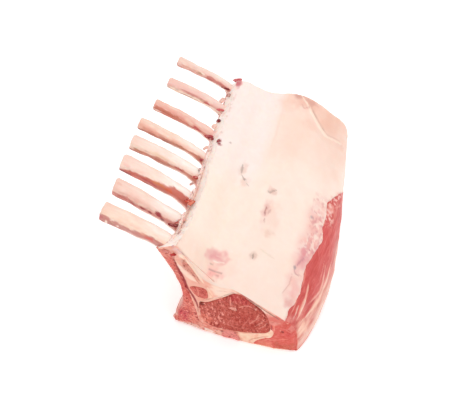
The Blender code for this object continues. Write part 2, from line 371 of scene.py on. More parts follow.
def clouds(tint, colour, share, points, noise, low, high):
    # Mixes a colour in where a random field of this (size, seed, layers) is high
    return mixInto(tint, colour, share * softStep(lumps(points, *noise), low, high))


def spaceOf(points):
    # Flat places as points in space
    return points if points.shape[1] == 3 else np.column_stack([points, points[:, 0] * 0])


def blotMask(points, place, size, seed, ragged=0.35, soft=0.5):
    # A soft spot with an uneven edge: 1 at its middle, 0 outside
    away = np.linalg.norm((points - np.array(place, float)) / np.array(size, float), axis=1)
    away = away + ragged * lumps(spaceOf(points), float(np.mean(size)) * 0.6, seed, 2)
    return 1 - softStep(away, 1 - soft, 1 + soft * 0.3)


def lineMask(points, path, width, seed, ragged=0.3, taper=0.3):
    # 1 within half the width of a path, with a wavering edge and thin ends
    gap, along = distanceTo(points, path)
    edge = width / 2 * (1 + ragged * lumps(spaceOf(points), width * 1.6, seed))
    if taper:
        edge = edge * softStep(np.minimum(along, 1 - along), -0.02, taper)
    return 1 - softStep(gap, edge * 0.5, edge * 1.25 + 0.12)


def paintMarks(places, tint, blots, lines, seed, soft=0.5):
    # Soft spots as (place, size, colour, strength), then strokes as (path, width, colour, strength)
    for number, (place, size, colour, strength) in enumerate(blots):
        blot = blotMask(places, place, size, seed + number, 0.35, soft)
        tint = mixInto(tint, colour, strength * blot)
    for number, (path, width, colour, strength) in enumerate(lines):
        tint = mixInto(tint, colour, strength * lineMask(places, path, width, seed + 60 + number))
    return tint


def nearCut(solid, within):
    # The near cut face and the rim round it
    rim = (solid.zone == 0) & (solid.depth < within) & (solid.points[:, 1] < length / 2)
    return (solid.zone == 1) | rim


def cutAndWall(solid, cut, wall):
    # One relief on both cut faces, which goes over into the wall's behind the rim
    deep = softStep(solid.depth, 0, 1.5)
    return np.where(solid.zone > 0, cut, wall * deep + cut * (1 - deep))


def knifeRelief(points):
    # The uneven surface that the knife leaves, the same for every piece that it went through
    flat = points * (1, 0, 1)
    return 0.26 * lumps(flat, 7, 61, 2) + 0.13 * lumps(flat, 2.0, 62, 2)


def standObject(name, data):
    made = bpy.data.objects.new(name, data)
    bpy.context.scene.collection.objects.link(made)
    return made


def makePiece(name, solid, relief, paint, material, nodes=()):
    # Builds the mesh, moves its skin by the relief, and stores the tint, grain and flecks on it
    mesh = bpy.data.meshes.new(name)
    mesh.from_pydata(solid.points.tolist(), [], solid.faces)
    normals = np.empty(len(mesh.vertices) * 3, np.float32)
    mesh.vertex_normals.foreach_get("vector", normals)
    solid.normals = normals.reshape(-1, 3).astype(float)
    solid.points = solid.points + solid.normals * relief(solid)[:, None]
    tint, grain, fleck = paint(solid)
    mesh.vertices.foreach_set("co", (origin + unit * solid.points).astype(np.float32).ravel())
    tint = np.column_stack([np.clip(tint, 0, 1), np.ones(len(tint))])
    for stored, kind, field, values in (
        ("tint", "FLOAT_COLOR", "color", tint),
        ("grain", "FLOAT_VECTOR", "vector", grain / mm),
        ("fleck", "FLOAT", "value", fleck),
    ):
        data = mesh.attributes.new(stored, kind, "POINT").data
        data.foreach_set(field, values.astype(np.float32).ravel())
    mesh.shade_smooth()
    mesh.materials.append(material)
    piece = standObject(name, mesh)
    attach(piece, "root")
    if nodes:
        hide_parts(*nodes)
    print(f"{name}: {len(mesh.vertices)} points, {len(mesh.polygons)} faces")


def closedLoops(look, y):
    return closedRun(look["rows"], y, look["points"]), None


def openLoops(look, y):
    run = evenRun(smoothRun(rowsAt(look["rows"], y), 8), look["points"])
    return footedRun(run, look["footInset"], look["footPoints"]), None


def makeLoft(name, look, loopsOf, relief, paint):
    # One piece of the body, from its own dictionary and functions
    y = ringPlaces(look["face"], look.get("spacing"))
    solid = loftSolid(*loopsOf(look, y), y, look["face"], look["seed"])
    makePiece(name, solid, relief, paint, materials[look["tissue"]], [look["node"]])


def addNode(tree, kind, settings, links):
    # Settings are properties or socket values, and links are the outputs that feed its sockets
    node = tree.nodes.new("ShaderNode" + kind)
    for name, value in settings.items():
        if isinstance(name, str) and hasattr(node, name):
            setattr(node, name, value)
        else:
            node.inputs[name].default_value = value
    for name, source in links.items():
        tree.links.new(source, node.inputs[name])
    return node


usualSettings = {
    "TexNoise": {"Roughness": 0.55},
    "Math": {"operation": "MULTIPLY"},
    "Mix": {"data_type": "RGBA"},
}


def makeMaterial(name, rows):
    # A row is a node: its key, kind and used output, its settings, and which key feeds which socket.
    # Mix takes colours at sockets 6 and 7 and gives one at output 2. MapRange takes its value at 0,
    # the range it comes from at 1 and 2 and the range it goes to at 3 and 4.
    material = bpy.data.materials.new(name)
    material.use_nodes = True
    tree = material.node_tree
    tree.nodes.clear()
    made = {}
    for key, kind, output, settings, links in rows:
        links = {socket: made[source] for socket, source in links.items()}
        node = addNode(tree, kind, {**usualSettings.get(kind, {}), **settings}, links)
        made[key] = node.outputs[output] if node.outputs else None
    return material


def paintOf(code):
    return (*linearFromHex(code), 1.0)


def mottleRows(look):
    # The painted tint under a mottle, and a fine unevenness
    tint, low, high = paintOf(look["mottleTint"]), look["roughness"] - 0.06, look["roughness"] + 0.08
    noise = {"Scale": 1 / look["mottleSize"], "Detail": 3.0, "Distortion": 0.4}
    gloss = {1: 0.3, 2: 0.7, 3: low, 4: high}
    return [
        ("tint", "Attribute", "Color", {"attribute_name": "tint"}, {}),
        ("grain", "Attribute", "Vector", {"attribute_name": "grain"}, {}),
        ("mottle", "TexNoise", 0, noise, {"Vector": "grain"}),
        ("cloudy", "MapRange", 0, {1: 0.35, 2: 0.68, 4: look["mottle"]}, {0: "mottle"}),
        ("colour", "Mix", 2, {"blend_type": "MULTIPLY", 7: tint}, {0: "cloudy", 6: "tint"}),
        ("gloss", "MapRange", 0, gloss, {0: "mottle"}),
        ("fine", "TexNoise", 0, {"Scale": 1 / look["fineSize"], "Detail": 2.0}, {"Vector": "grain"}),
        ("height", "Math", 0, {1: look["fineHeight"]}, {0: "fine"}),
    ]


def bundleRows(look):
    # Bundles of fibres, with paler sheaths between some and shade in others
    sheath, shade = paintOf(look["bundleTint"]), paintOf(look["shadeTint"])
    noise = {"Scale": 1 / look["bundleSize"], "Detail": 3.5, "Distortion": 0.9}
    return [
        ("strand", "TexNoise", 0, noise, {"Vector": "grain"}),
        ("sheath", "MapRange", 0, {1: 0.52, 2: 0.66, 4: look["bundle"]}, {0: "strand"}),
        ("shade", "MapRange", 0, {1: 0.48, 2: 0.34, 4: look["bundleShade"]}, {0: "strand"}),
        ("colour", "Mix", 2, {7: sheath}, {0: "sheath", 6: "colour"}),
        ("colour", "Mix", 2, {"blend_type": "MULTIPLY", 7: shade}, {0: "shade", 6: "colour"}),
        ("raised", "Math", 0, {1: look["bundleHeight"]}, {0: "strand"}),
        ("height", "Math", 0, {"operation": "ADD"}, {0: "height", 1: "raised"}),
    ]


def fleckRows(look):
    # Flecks of fat, more of them where the painted share is high
    noise = {"Scale": 1 / look["fleckSize"], "Detail": 1.5, "Distortion": 0.8}
    return [
        ("fleck", "Attribute", "Fac", {"attribute_name": "fleck"}, {}),
        ("spots", "TexNoise", 0, noise, {"Vector": "grain"}),
        ("lowered", "Math", 0, {1: 0.22}, {0: "fleck"}),
        ("limit", "Math", 0, {"operation": "SUBTRACT", 0: 0.78}, {1: "lowered"}),
        ("above", "Math", 0, {"operation": "SUBTRACT"}, {0: "spots", 1: "limit"}),
        ("mask", "MapRange", 0, {1: 0, 2: 0.045, 4: look["fleckShare"]}, {0: "above"}),
        ("colour", "Mix", 2, {7: paintOf(look["fleckTint"])}, {0: "mask", 6: "colour"}),
        ("raised", "Math", 0, {1: look["fleckHeight"]}, {0: "mask"}),
        ("height", "Math", 0, {"operation": "ADD"}, {0: "height", 1: "raised"}),
    ]


def makeTissue(name, look):
    # Moist tissue: its patterns, then a soft shader that lets light in under a wet film
    rows = mottleRows(look)
    rows += bundleRows(look) if "bundle" in look else []
    rows += fleckRows(look) if "fleckSize" in look else []
    values = {
        "IOR": look["ior"],
        "Subsurface Weight": look["depth"],
        "Subsurface Radius": look["bleed"],
        "Subsurface Scale": look["bleedSize"],
        "Coat Weight": look["wet"],
        "Coat Roughness": look["wetRoughness"],
        "Specular IOR Level": look["specular"],
    }
    links = {"Base Color": "colour", "Roughness": "gloss", "Normal": "bump"}
    rows += [
        ("bump", "Bump", 0, {"Strength": look["bump"], "Distance": 0.0004}, {"Height": "height"}),
        ("shader", "BsdfPrincipled", 0, values, links),
        ("end", "OutputMaterial", 0, {}, {"Surface": "shader"}),
    ]
    return makeMaterial(name, rows)


# Pattern sizes in millimetres, the light's bleed in metres
tissues = {
    # Chilled back fat: a firm, smooth, waxy skin that lets light in, with faint warm clouds
    "chilledBackFat": {
        "mottleSize": 9.0, "mottle": 0.16, "mottleTint": "#f9e3d6", "fineSize": 0.9, "fineHeight": 0.3,
        "bump": 0.25, "roughness": 0.5, "ior": 1.46, "depth": 0.3, "bleed": (1.0, 0.55, 0.4),
        "bleedSize": 0.002, "wet": 0.03, "wetRoughness": 0.3, "specular": 0.25,
    },
    # Soft fat between the muscles: yellower and wetter than the back fat, cut to a rough grain
    "cutSeamFat": {
        "mottleSize": 2.4, "mottle": 0.4, "mottleTint": "#f0c8b4", "fineSize": 0.7, "fineHeight": 0.5,
        "bump": 0.4, "roughness": 0.45, "ior": 1.46, "depth": 0.25, "bleed": (1.0, 0.5, 0.35),
        "bleedSize": 0.0015, "wet": 0.06, "wetRoughness": 0.25, "specular": 0.25,
    },
    # Loin sliced across its fibres: uneven bundles about 1.5 mm wide, some in paler sheaths, with
    # flecks of marbling
    "slicedLoin": {
        "mottleSize": 5.0, "mottle": 0.35, "mottleTint": "#e0a89c", "fineSize": 0.6, "fineHeight": 0.4,
        "bundle": 0.42, "bundleSize": 1.5, "bundleTint": "#e58a7b", "bundleShade": 0.8,
        "shadeTint": "#b06a60", "bundleHeight": 0.9, "fleckSize": 1.5, "fleckShare": 0.75,
        "fleckTint": "#f0a596", "fleckHeight": 0.5, "bump": 0.45, "roughness": 0.45, "ior": 1.38,
        "depth": 0.15, "bleed": (1.0, 0.25, 0.15), "bleedSize": 0.001, "wet": 0.03, "wetRoughness": 0.2,
        "specular": 0.13,
    },
    # Muscle left bare where the cap was pulled off: fibres run the long way under a moist film
    "bareBackMuscle": {
        "mottleSize": 4.0, "mottle": 0.35, "mottleTint": "#e0a8a0", "fineSize": 0.8, "fineHeight": 0.6,
        "bundle": 0.25, "bundleSize": 1.8, "bundleTint": "#ee9d92", "bundleShade": 0.25,
        "shadeTint": "#cf9089", "bundleHeight": 0.7, "fleckSize": 1.7, "fleckShare": 0.7,
        "fleckTint": "#f7bba9", "fleckHeight": 0.4, "bump": 0.4, "roughness": 0.42, "ior": 1.38,
        "depth": 0.15, "bleed": (1.0, 0.25, 0.15), "bleedSize": 0.001, "wet": 0.05, "wetRoughness": 0.2,
        "specular": 0.16,
    },
    # Scraped rib bone: smooth and hard with fine scrape lines, and stained where flesh stayed on
    "scrapedRibBone": {
        "mottleSize": 2.6, "mottle": 0.3, "mottleTint": "#f2d2c0", "fineSize": 0.5, "fineHeight": 0.35,
        "bump": 0.3, "roughness": 0.4, "ior": 1.55, "depth": 0.15, "bleed": (1.0, 0.5, 0.35),
        "bleedSize": 0.0015, "wet": 0.08, "wetRoughness": 0.25, "specular": 0.3,
    },
}
materials = {name: makeTissue(name, look) for name, look in tissues.items()}
print("materials made")

fatCap = {
    "tissue": "chilledBackFat",
    "slot": "fat",
    "node": "fat_cap",
    "seed": 1,
    "chestPoints": 30,
    "topPoints": 14,
    "footPoints": 24,
    "spacing": 0.85 * mm,
    "face": {"rim": 0.7, "spacing": 0.7, "sink": 0.0, "swell": 0.0, "slope": 1.0},
    "chestInset": 1.3,  # the rib meat covers it there
    "footInset": 0.6,
    "edgeDive": 3.4,  # how deep its surface passes under the bare back muscle
    "edgeSlope": 0.9,
    # where it stops down the back, as (y, length from the frenched edge)
    "edge": (
        (-1, 109.5), (2, 109.5), (4.5, 107.6), (8, 107), (14, 107), (20, 107.5), (27, 105.5), (35, 102),
        (42, 101), (50, 103.5), (60, 107), (66, 108), (72, 106.5), (80, 104), (88, 105), (95, 104),
        (101, 103), (108, 106.5), (118, 112.5), (125, 119), (140, 121), (160, 122), (180, 122.5),
    ),
    "tint": "#fde7db",
}


def edgeAt(y):
    along = np.column_stack([y, y * 0, y * 0])
    ragged = 0.8 * lumps(along, 7, 5) + 0.45 * lumps(along, 2.6, 6)
    return np.interp(y, *zip(*fatCap["edge"])) + ragged * softStep(y, 0, 8)


def fatLoops(look, y):
    chest = evenRun(smoothRun(chestRows(y), 8), look["chestPoints"])
    chest[..., 0] += look["chestInset"]
    chest[..., 1] = np.maximum(chest[..., 1], look["footInset"])
    run, lengths = capRun(y)
    slope = look["edgeSlope"]
    dive = look["edgeDive"] * softStep(lengths - edgeAt(y)[:, None], -slope, slope)
    run = run + inwardFrom(run) * dive[..., None]
    run[..., 1] = np.maximum(run[..., 1], look["footInset"])
    top, foot = bridge(chest, run, look["topPoints"]), bridge(run, chest, look["footPoints"])
    # Lengths below zero mark the frenched face, the chest side and the foot
    frenched = np.linspace(-9, -1, look["topPoints"]) + 0 * y[:, None]
    hidden = (np.full(part.shape[:2], -20.0) for part in (chest, foot))
    labels = np.concatenate([next(hidden), frenched, lengths, next(hidden)], axis=1)
    return np.concatenate([chest, top, run, foot], axis=1), labels


# Soft spots on the cap, laid out flat: (length from the frenched edge, y), size, colour, strength
capBlots = (
    ((46, 172), (9, 12), "#f5d0c0", 0.7), ((60, 150), (16, 42), "#f8d8c8", 0.6),
    ((62, 174), (13, 10), "#efbfae", 0.85), ((54, 178), (8, 3.4), "#d39d90", 0.85),
    ((65, 176.5), (7, 3.6), "#d09488", 0.85), ((84, 168), (7, 12), "#eebca9", 0.7),
    # The two large spots on the next line are painted shade, where the far end of the back slopes away from
    # the light
    ((84, 172), (24, 20), "#efc2ae", 0.75), ((100, 150), (20, 34), "#eec7b6", 0.5),
    ((70, 156), (8, 6), "#f3cdbd", 0.6), ((36.5, 17), (9.5, 6.4), "#e3979b", 0.85),
    ((41, 5), (7, 5), "#f3aaa5", 0.75), ((38, 11), (8, 4), "#f3cabd", 0.7),
    ((50, 9), (9, 6), "#fbdccf", 0.6), ((28.5, 97), (3.4, 7), "#e2c6bb", 0.6),
    ((33, 86), (4, 5), "#e6cdc2", 0.6), ((56, 84), (5, 4), "#e3c0b4", 0.75),
    ((56.5, 66), (4.4, 9), "#e4b0a7", 0.75), ((62, 62), (6, 12), "#f3d3c6", 0.6),
    ((64.5, 48.5), (5, 3.5), "#edcfc0", 0.75), ((60.5, 26), (2.8, 4), "#dcbcb0", 0.75),
    ((1.6, 109.5), (2.8, 3), "#98373f", 1.0), ((3.6, 106.5), (2.6, 1.5), "#a65357", 0.8),
    ((1.4, 176), (4, 6.5), "#cb6b72", 0.95), ((97, 66), (11, 36), "#f0b9b1", 0.85),
    ((96, 44), (7, 11), "#e29aa0", 0.85), ((100, 57), (6, 10), "#e0908f", 0.8),
    ((95, 88), (7, 14), "#f2c4bc", 0.6), ((99.5, 21), (9, 13), "#f4c4bc", 1.0),
    ((103, 10.5), (4.6, 5.4), "#e0a09c", 0.7), ((108, 92), (4, 6), "#fbe7dc", 0.7),
    ((93, 34), (1.6, 1.6), "#a99499", 0.9), ((92, 79), (1.8, 1.5), "#b3a0a4", 0.8),
    ((32, 88), (1.2, 1.0), "#8d7671", 0.9), ((1, 46), (1.4, 2.4), "#c9aca3", 0.8),
    ((11, 112), (1.2, 1.0), "#b9a09a", 0.8), ((72, 128), (11, 9), "#fae3d6", 0.6),
)
ridgePath = ((51, 180), (56, 178.2), (62, 172), (65.6, 167), (75.5, 158.5), (83, 154.2), (103, 158))
# Scratches, creases and veins on the cap, laid out flat: path, width, colour, strength
capLines = (
    (((58, 177), (63, 172), (68, 165.5), (77, 158.5), (86, 155.5), (102, 158.5)), 2.6, "#fde3d2", 0.7),
    (((66.5, 170.6), (69.5, 167.6), (73, 164.6)), 1.2, "#bb8375", 0.75),
    (((79, 160.4), (82.5, 158.6)), 1.3, "#c39484", 0.75),
    (((33, 11.3), (35, 10.8), (38.5, 11.2)), 0.9, "#b6978c", 0.65),
    (((34, 6.9), (38, 6.2), (41, 6.7), (46, 6.2)), 1.0, "#b08a82", 0.6),
    (((36, 3.6), (41, 3.2), (45, 3.9)), 0.9, "#c58d85", 0.6),
    (((33, 14), (38, 13.6), (44, 14.4)), 1.1, "#fbe9df", 0.85),
    (((34, 18.5), (39, 18), (44, 19)), 0.9, "#f3cbc4", 0.6),
    (((40, -0.5), (48, -0.8)), 1.0, "#dcb7a6", 0.6),
    (((27, 101), (27.6, 96), (28.6, 92)), 1.3, "#b9a29a", 0.8),
    (((28.6, 92), (31, 89), (33, 86)), 1.0, "#b7a097", 0.75),
    (((34.5, 85), (38, 82)), 0.9, "#c9b3aa", 0.7),
    (((53, 81), (56, 84.5), (59, 86)), 1.3, "#b79a90", 0.8), (((52, 83), (55, 82)), 1.0, "#c7aba0", 0.7),
    (((56, 71), (55.6, 66), (56.4, 61)), 1.3, "#b97c78", 0.8),
    (((56.8, 60), (58, 55)), 0.9, "#c99b94", 0.7), (((59, 69), (58.4, 63)), 1.0, "#cf9890", 0.6),
    (((62, 34), (69, 32.6), (76, 32)), 1.3, "#ecd9c8", 0.7),
    (((60, 28.5), (60.6, 26), (61.4, 23.6)), 1.1, "#a88f85", 0.8),
    (((98, 62), (99.6, 57), (98.8, 52)), 1.1, "#c9747c", 0.8),
    (((93, 34), (95, 40), (98, 47)), 1.2, "#c98f94", 0.7),
    (((92, 33), (96, 30), (101, 31)), 1.0, "#cf9c9c", 0.8),
    (((93.5, 12), (95, 20), (93, 30)), 0.9, "#ddaea4", 0.6),
    (((94, 68), (97, 74), (95, 82)), 0.8, "#d99c9a", 0.5), (ridgePath, 1.9, "#fae6d6", 0.85),
    (((58, 179), (65, 173), (69, 168.5), (79, 160.5), (86, 157), (103, 161)), 2.2, "#dcb4a3", 0.6),
    (((57, 172), (60, 168), (64, 170), (62, 175)), 0.9, "#dba89c", 0.7),
    (((63, 62), (64, 58), (63.4, 52), (66, 48)), 1.0, "#f7ddd0", 0.6),
    (((43.5, 122), (44.4, 140), (43, 172)), 2.0, "#f8dacd", 0.5),
    (((104, 96), (106.5, 90), (106, 84)), 1.0, "#fdf0e6", 0.8),
)
cutIn = capLines[3:23]  # the strokes that are pressed into the surface too
dents = capBlots[9:10] + capBlots[13:17] + capBlots[20:21]  # and the spots
# The same two for the near cut face of the fat, as (x, z)
nearFatBlots = (
    ((13, 81), (8, 9), "#dc9484", 0.95), ((8.5, 90), (3.2, 3.6), "#fce1cd", 0.9),
    ((19, 70), (6, 8), "#eaa48f", 0.6), ((40, 60), (11, 8), "#fcdecc", 0.9),
    ((30, 52), (5, 8), "#f6bda4", 0.9), ((23, 44), (4, 4), "#f0a48d", 0.8),
    ((58, 60), (11, 5), "#c25a52", 0.9), ((79, 42), (10, 5.5), "#de7166", 0.95),
    ((6, 95), (5, 4), "#efc6c0", 0.85),
)
nearFatLines = (
    (((9, 92), (15, 82), (21, 72), (26, 63)), 3.2, "#fddcc6", 0.9),
    (((4, 80), (8, 73), (11.5, 69.5), (16, 66), (21, 63)), 5.2, "#fcd8c5", 0.9),
    (((12, 95), (17, 86.5), (23, 74), (30, 66)), 1.2, "#a4705f", 0.7),
    (((8, 86), (12, 78), (18, 69), (22, 62)), 0.9, "#c67a69", 0.7),
    (((13, 90), (18, 80), (22, 73)), 0.8, "#c98877", 0.6),
    (((20, 60), (27, 61.5), (33, 63)), 1.2, "#e9a792", 0.6),
    (((27.5, 62), (31.5, 54), (30, 47)), 2.0, "#fad3ba", 0.8),
    (((29, 57), (33, 50), (36, 52)), 0.8, "#e69a85", 0.6),
    (((54, 63), (62, 57.6), (70, 50.6), (76, 45.4)), 1.4, "#fbd9c9", 0.8),
    (((58, 61.2), (66, 55.2), (72, 50.6), (78, 46.4), (86, 41.2)), 1.0, "#8a6156", 0.85),
    (((5, 97), (9, 94), (12, 90)), 0.8, "#b5948e", 0.7),
    # The next line is painted shade in the gap along the eye's upper-left edge
    (((22, 41), (29, 46.5), (36, 52.5), (44, 60), (50, 65)), 0.9, "#a8604f", 0.6),
    (((30, 46.5), (36, 53), (42, 58.5)), 0.9, "#fce2ce", 0.7),
    (((35, 60), (40, 62.5), (46, 63.5)), 0.8, "#e2a38e", 0.6),
)
# Where the fat meets the rib meat
creasePath = (
    (2.5, 88), (1.9, 82), (5, 73), (9, 64), (10.4, 58), (12.4, 51), (16, 44), (19, 37), (20.2, 30), (20, 24),
)


def fatRelief(solid):
    points, zone, run = solid.points, solid.zone, solid.run
    flat = np.column_stack([run, points[:, 1]])
    move = 0.28 * lumps(points, 16, 41, 2) + 0.11 * lumps(points, 3.5, 42, 2)
    # Where it was frenched, scraps and nicks make the edge uneven
    edge = (zone == 0) * softStep(-np.abs(run), -5, -1) * (run > -10)
    move += edge * (0.5 * lumps(points, 3.2, 44, 2) + 0.25 * lumps(points, 1.5, 45))
    ridge, _ = distanceTo(flat, ridgePath)
    move += 0.6 * np.exp(-((ridge / 2.4) ** 2)) - 0.4 * np.exp(-(((ridge - 4.4) / 2.6) ** 2))
    wall = (run > 0) * (zone == 0)
    for number, (path, width, _, strength) in enumerate(cutIn):
        move -= 0.26 * strength * wall * lineMask(flat, path, width * 1.2, 163 + number)
    for place, size, _, strength in dents:
        move -= 0.25 * strength * wall * blotMask(flat, place, np.array(size) * 0.8, 46)
    thin = wall * softStep(run, 88, 101) * softStep(-points[:, 1], -110, -85)
    move += thin * (0.25 * lumps(points, 4, 47, 2) - 0.25)
    return cutAndWall(solid, knifeRelief(points), move)


def paintFat(solid):
    points, zone, run = solid.points, solid.zone, solid.run
    y = points[:, 1]
    flat, onFace = np.column_stack([run, y]), points[:, [0, 2]]
    tint = plain(fatCap["tint"], points)
    tint = clouds(tint, "#f8dfd2", 0.4, points, (20, 51, 2), 0.1, 0.9)
    # Painted shade: the far end is pinker past length 40, on the side of the back that slopes away from the
    # light
    tint = mixInto(tint, "#f9ddd0", 0.55 * softStep(run, 40, 47) * softStep(y, 112, 130))
    tint = mixInto(tint, "#fcdfd3", 0.5 * softStep(-y, -36, 0) * softStep(run, 28, 40))
    # Painted light: a warmer, lighter band down the slope beside the frenched edge, which faces away from
    # the key light
    tint = mixInto(tint, "#feeadc", 0.9 * softStep(run, 1, 8) * softStep(-run, -38, -27))
    tint = mixInto(tint, "#f9d9c9", 0.6 * softStep(-y, -26, -8) * softStep(-run, -52, -30))
    tint = mixInto(tint, "#feebe7", 0.75 * softStep(y, 60, 110) * softStep(-run, -46, -34))
    tint = paintMarks(flat, tint, capBlots, capLines, 100, 0.75)
    border = softStep(run - edgeAt(y), -5, 0)
    tint = mixInto(tint, "#f7d5ca", 0.5 * border)
    tint = clouds(tint, "#e8a69d", 0.6 * border, points, (2.4, 52, 2), 0.2, 0.7)
    # Pink flesh shows through where the fat thins out
    thin = softStep(run - edgeAt(y), -18, -11) * softStep(y, 40, 54) * softStep(-y, -106, -92)
    tint = clouds(tint, "#f9dfd4", 0.85 * thin, points, (2.6, 56, 3), 0.0, 0.45)
    tint = clouds(tint, "#db9496", 0.6 * thin, points, (1.9, 57, 3), 0.3, 0.65)
    # The frenched edge and the narrow face under it carry dashes of scraped flesh
    edge = softStep(-np.abs(run - 0.5), -3.2, -0.6)
    tint = clouds(tint, "#c9a59c", 0.45 * edge, points * (1, 0.6, 1), (2.4, 53, 2), 0.3, 0.6)
    frenched = ((run < 0) & (run > -10)).astype(float)
    tint = mixInto(tint, "#fff2ea", 0.95 * frenched)
    tint = clouds(tint, "#e3b0a6", 0.3 * frenched, points, (2.8, 54, 3), 0.35, 0.65)
    tint = mixInto(tint, "#f8dfd4", (run < -10).astype(float))
    rim = softStep(-solid.depth, -2.0, -0.4) * (y < length / 2) * (zone == 0) * (run > 0)
    tint = mixInto(tint, "#dcb8a8", 0.4 * rim * softStep(-run, -50, -36))
    # Both cut faces, in a darker pink than the top: the cut fat's own colour with painted shade, as the near
    # face is turned from the light
    base = clouds(plain("#f1b39f", points), "#e59985", 0.5, points, (3.6, 55, 3), 0.1, 0.7)
    tint = np.where((zone > 0)[:, None], base, tint)
    near = (nearCut(solid, 0.3) & (run <= 110))[:, None]
    marked = paintMarks(onFace, np.where(near, base, tint), nearFatBlots, nearFatLines, 200)
    # Painted shade: a dark red line in the crease where the fat meets the rib meat
    marked = mixInto(marked, "#a02a31", lineMask(onFace, creasePath, 2.4, 220))
    tint = np.where(near, marked, tint)
    return tint, points, np.zeros(len(points))


makeLoft("fatCap", fatCap, fatLoops, fatRelief, paintFat)


def cutRelief(solid):
    return knifeRelief(solid.points)


loinEye = {
    "tissue": "slicedLoin",
    "slot": "loin_muscle",
    "node": "loin_eye",
    "seed": 2,
    "points": 220,
    "rows": (
        (20.2, 29, 21, 30), (20.6, 39.5, 22, 42), (27, 42.4, 26, 52), (38.6, 53.6, 37, 70),
        (50, 64.3, 52, 79, 2, 0), (62.6, 57.4, 67, 77, 3, -2), (72.8, 46.8, 78, 62, 4, 0),
        (77.6, 32, 82, 42, 4, 0), (76.6, 21.4, 78, 27, 4, 0), (64, 15, 66, 17, 2, 0),
        (46, 11.2, 48, 13), (31, 10, 34, 11), (22, 17, 24, 17),
    ),
    "face": {"rim": 0.5, "spacing": 0.55, "sink": 0.7, "swell": 0.95, "slope": 1.6},
    "tint": "#bf5548",
}
eyeBlots = (
    ((60, 33), (13, 13), "#bb483c", 0.85), ((36, 32), (12, 12), "#c66053", 0.7),
    ((49, 58), (5, 6), "#c03c3f", 0.85), ((57, 56), (7, 6), "#c44744", 0.8),
    ((40, 50), (7, 4), "#c5544b", 0.7), ((27, 22), (6, 7), "#e8826f", 0.8),
    # The dark spot at (23, 38.5) is painted shade in a hole at the eye's edge
    ((25, 15), (4, 3.5), "#f3a48f", 0.7), ((23, 38.5), (2.4, 2.6), "#7d2a22", 0.95),
    ((27.5, 42.5), (1.4, 1.2), "#9b3f34", 0.8), ((73, 27), (3, 6), "#cc5c4e", 0.6),
    ((48, 43.5), (2.6, 1.5), "#f0aa98", 0.85), ((65.5, 50.5), (1.1, 2.4), "#f6b9a8", 0.9),
)
eyeLines = (
    (((46, 59), (46.4, 54), (46.2, 50), (47, 45)), 0.9, "#eda08f", 0.85),
    (((45, 42), (47, 45), (50, 45.6), (51, 42.8), (48.5, 41.4)), 0.9, "#f6bdac", 0.95),
    (((52, 47), (56, 50.5), (60, 53), (64, 50)), 0.9, "#eca291", 0.85),
    (((52, 61), (54, 56), (53.4, 51)), 0.7, "#d9796c", 0.7),
    (((33, 44), (38, 47), (43, 52)), 0.9, "#e38b7c", 0.7),
    (((60, 27), (66, 36), (69, 47)), 1.0, "#e29585", 0.75),
    (((64, 25), (70, 33), (73, 41)), 1.0, "#e59c8d", 0.75),
    (((68, 24), (73, 31), (75, 37)), 0.9, "#e3998b", 0.65),
    (((56, 24), (60, 33), (62, 42)), 0.8, "#d67c6e", 0.6),
    (((40, 20), (52, 19), (62, 22)), 0.8, "#d98575", 0.6),
    # The next line is painted shade in the gap along the eye's upper-left edge
    (((24, 42), (30, 46.5), (37, 53.5), (43, 57.5)), 1.0, "#9d3c36", 0.6),
    (((50, 64), (57, 61), (64, 55.5), (71, 48), (76.5, 38)), 1.3, "#93352f", 0.55),
    # The next line is painted shade in the gap along the eye's upper-left edge
    (((40, 55), (45, 58.5), (49.5, 63.8)), 1.0, "#8c3430", 0.5),
    (((77, 35), (77.8, 30), (76, 23)), 0.9, "#8f352f", 0.6),
)
# Short upright streaks of fat between the bundles in the chest-side half of the eye
streakDraws = np.random.default_rng(66)
for _ in range(46):
    acrossEye, upEye = streakDraws.uniform(23, 56), streakDraws.uniform(15, 52)
    if upEye > 0.95 * acrossEye + 14:
        continue
    highStreak, leanStreak = streakDraws.uniform(1.6, 4.2), streakDraws.uniform(-0.7, 0.9)
    streakPath = ((acrossEye, upEye), (acrossEye + leanStreak, upEye + highStreak))
    eyeLines += ((streakPath, 0.8, "#e59082", 0.75),)


def paintEye(solid):
    points = solid.points
    places = points[:, [0, 2]]
    tint = plain(loinEye["tint"], points)
    tint = paintMarks(places, tint, eyeBlots, eyeLines, 230)
    x = points[:, 0]
    fleck = 0.35 + 0.4 * softStep(-x, -50, -34) + 0.3 * softStep(x, 62, 70)
    fleck = fleck - 0.4 * blotMask(places, (59, 32), (9, 10), 67)
    return tint, points[:, [0, 2, 1]] * (1, 0.5, 1), fleck


makeLoft("loinEye", loinEye, closedLoops, cutRelief, paintEye)

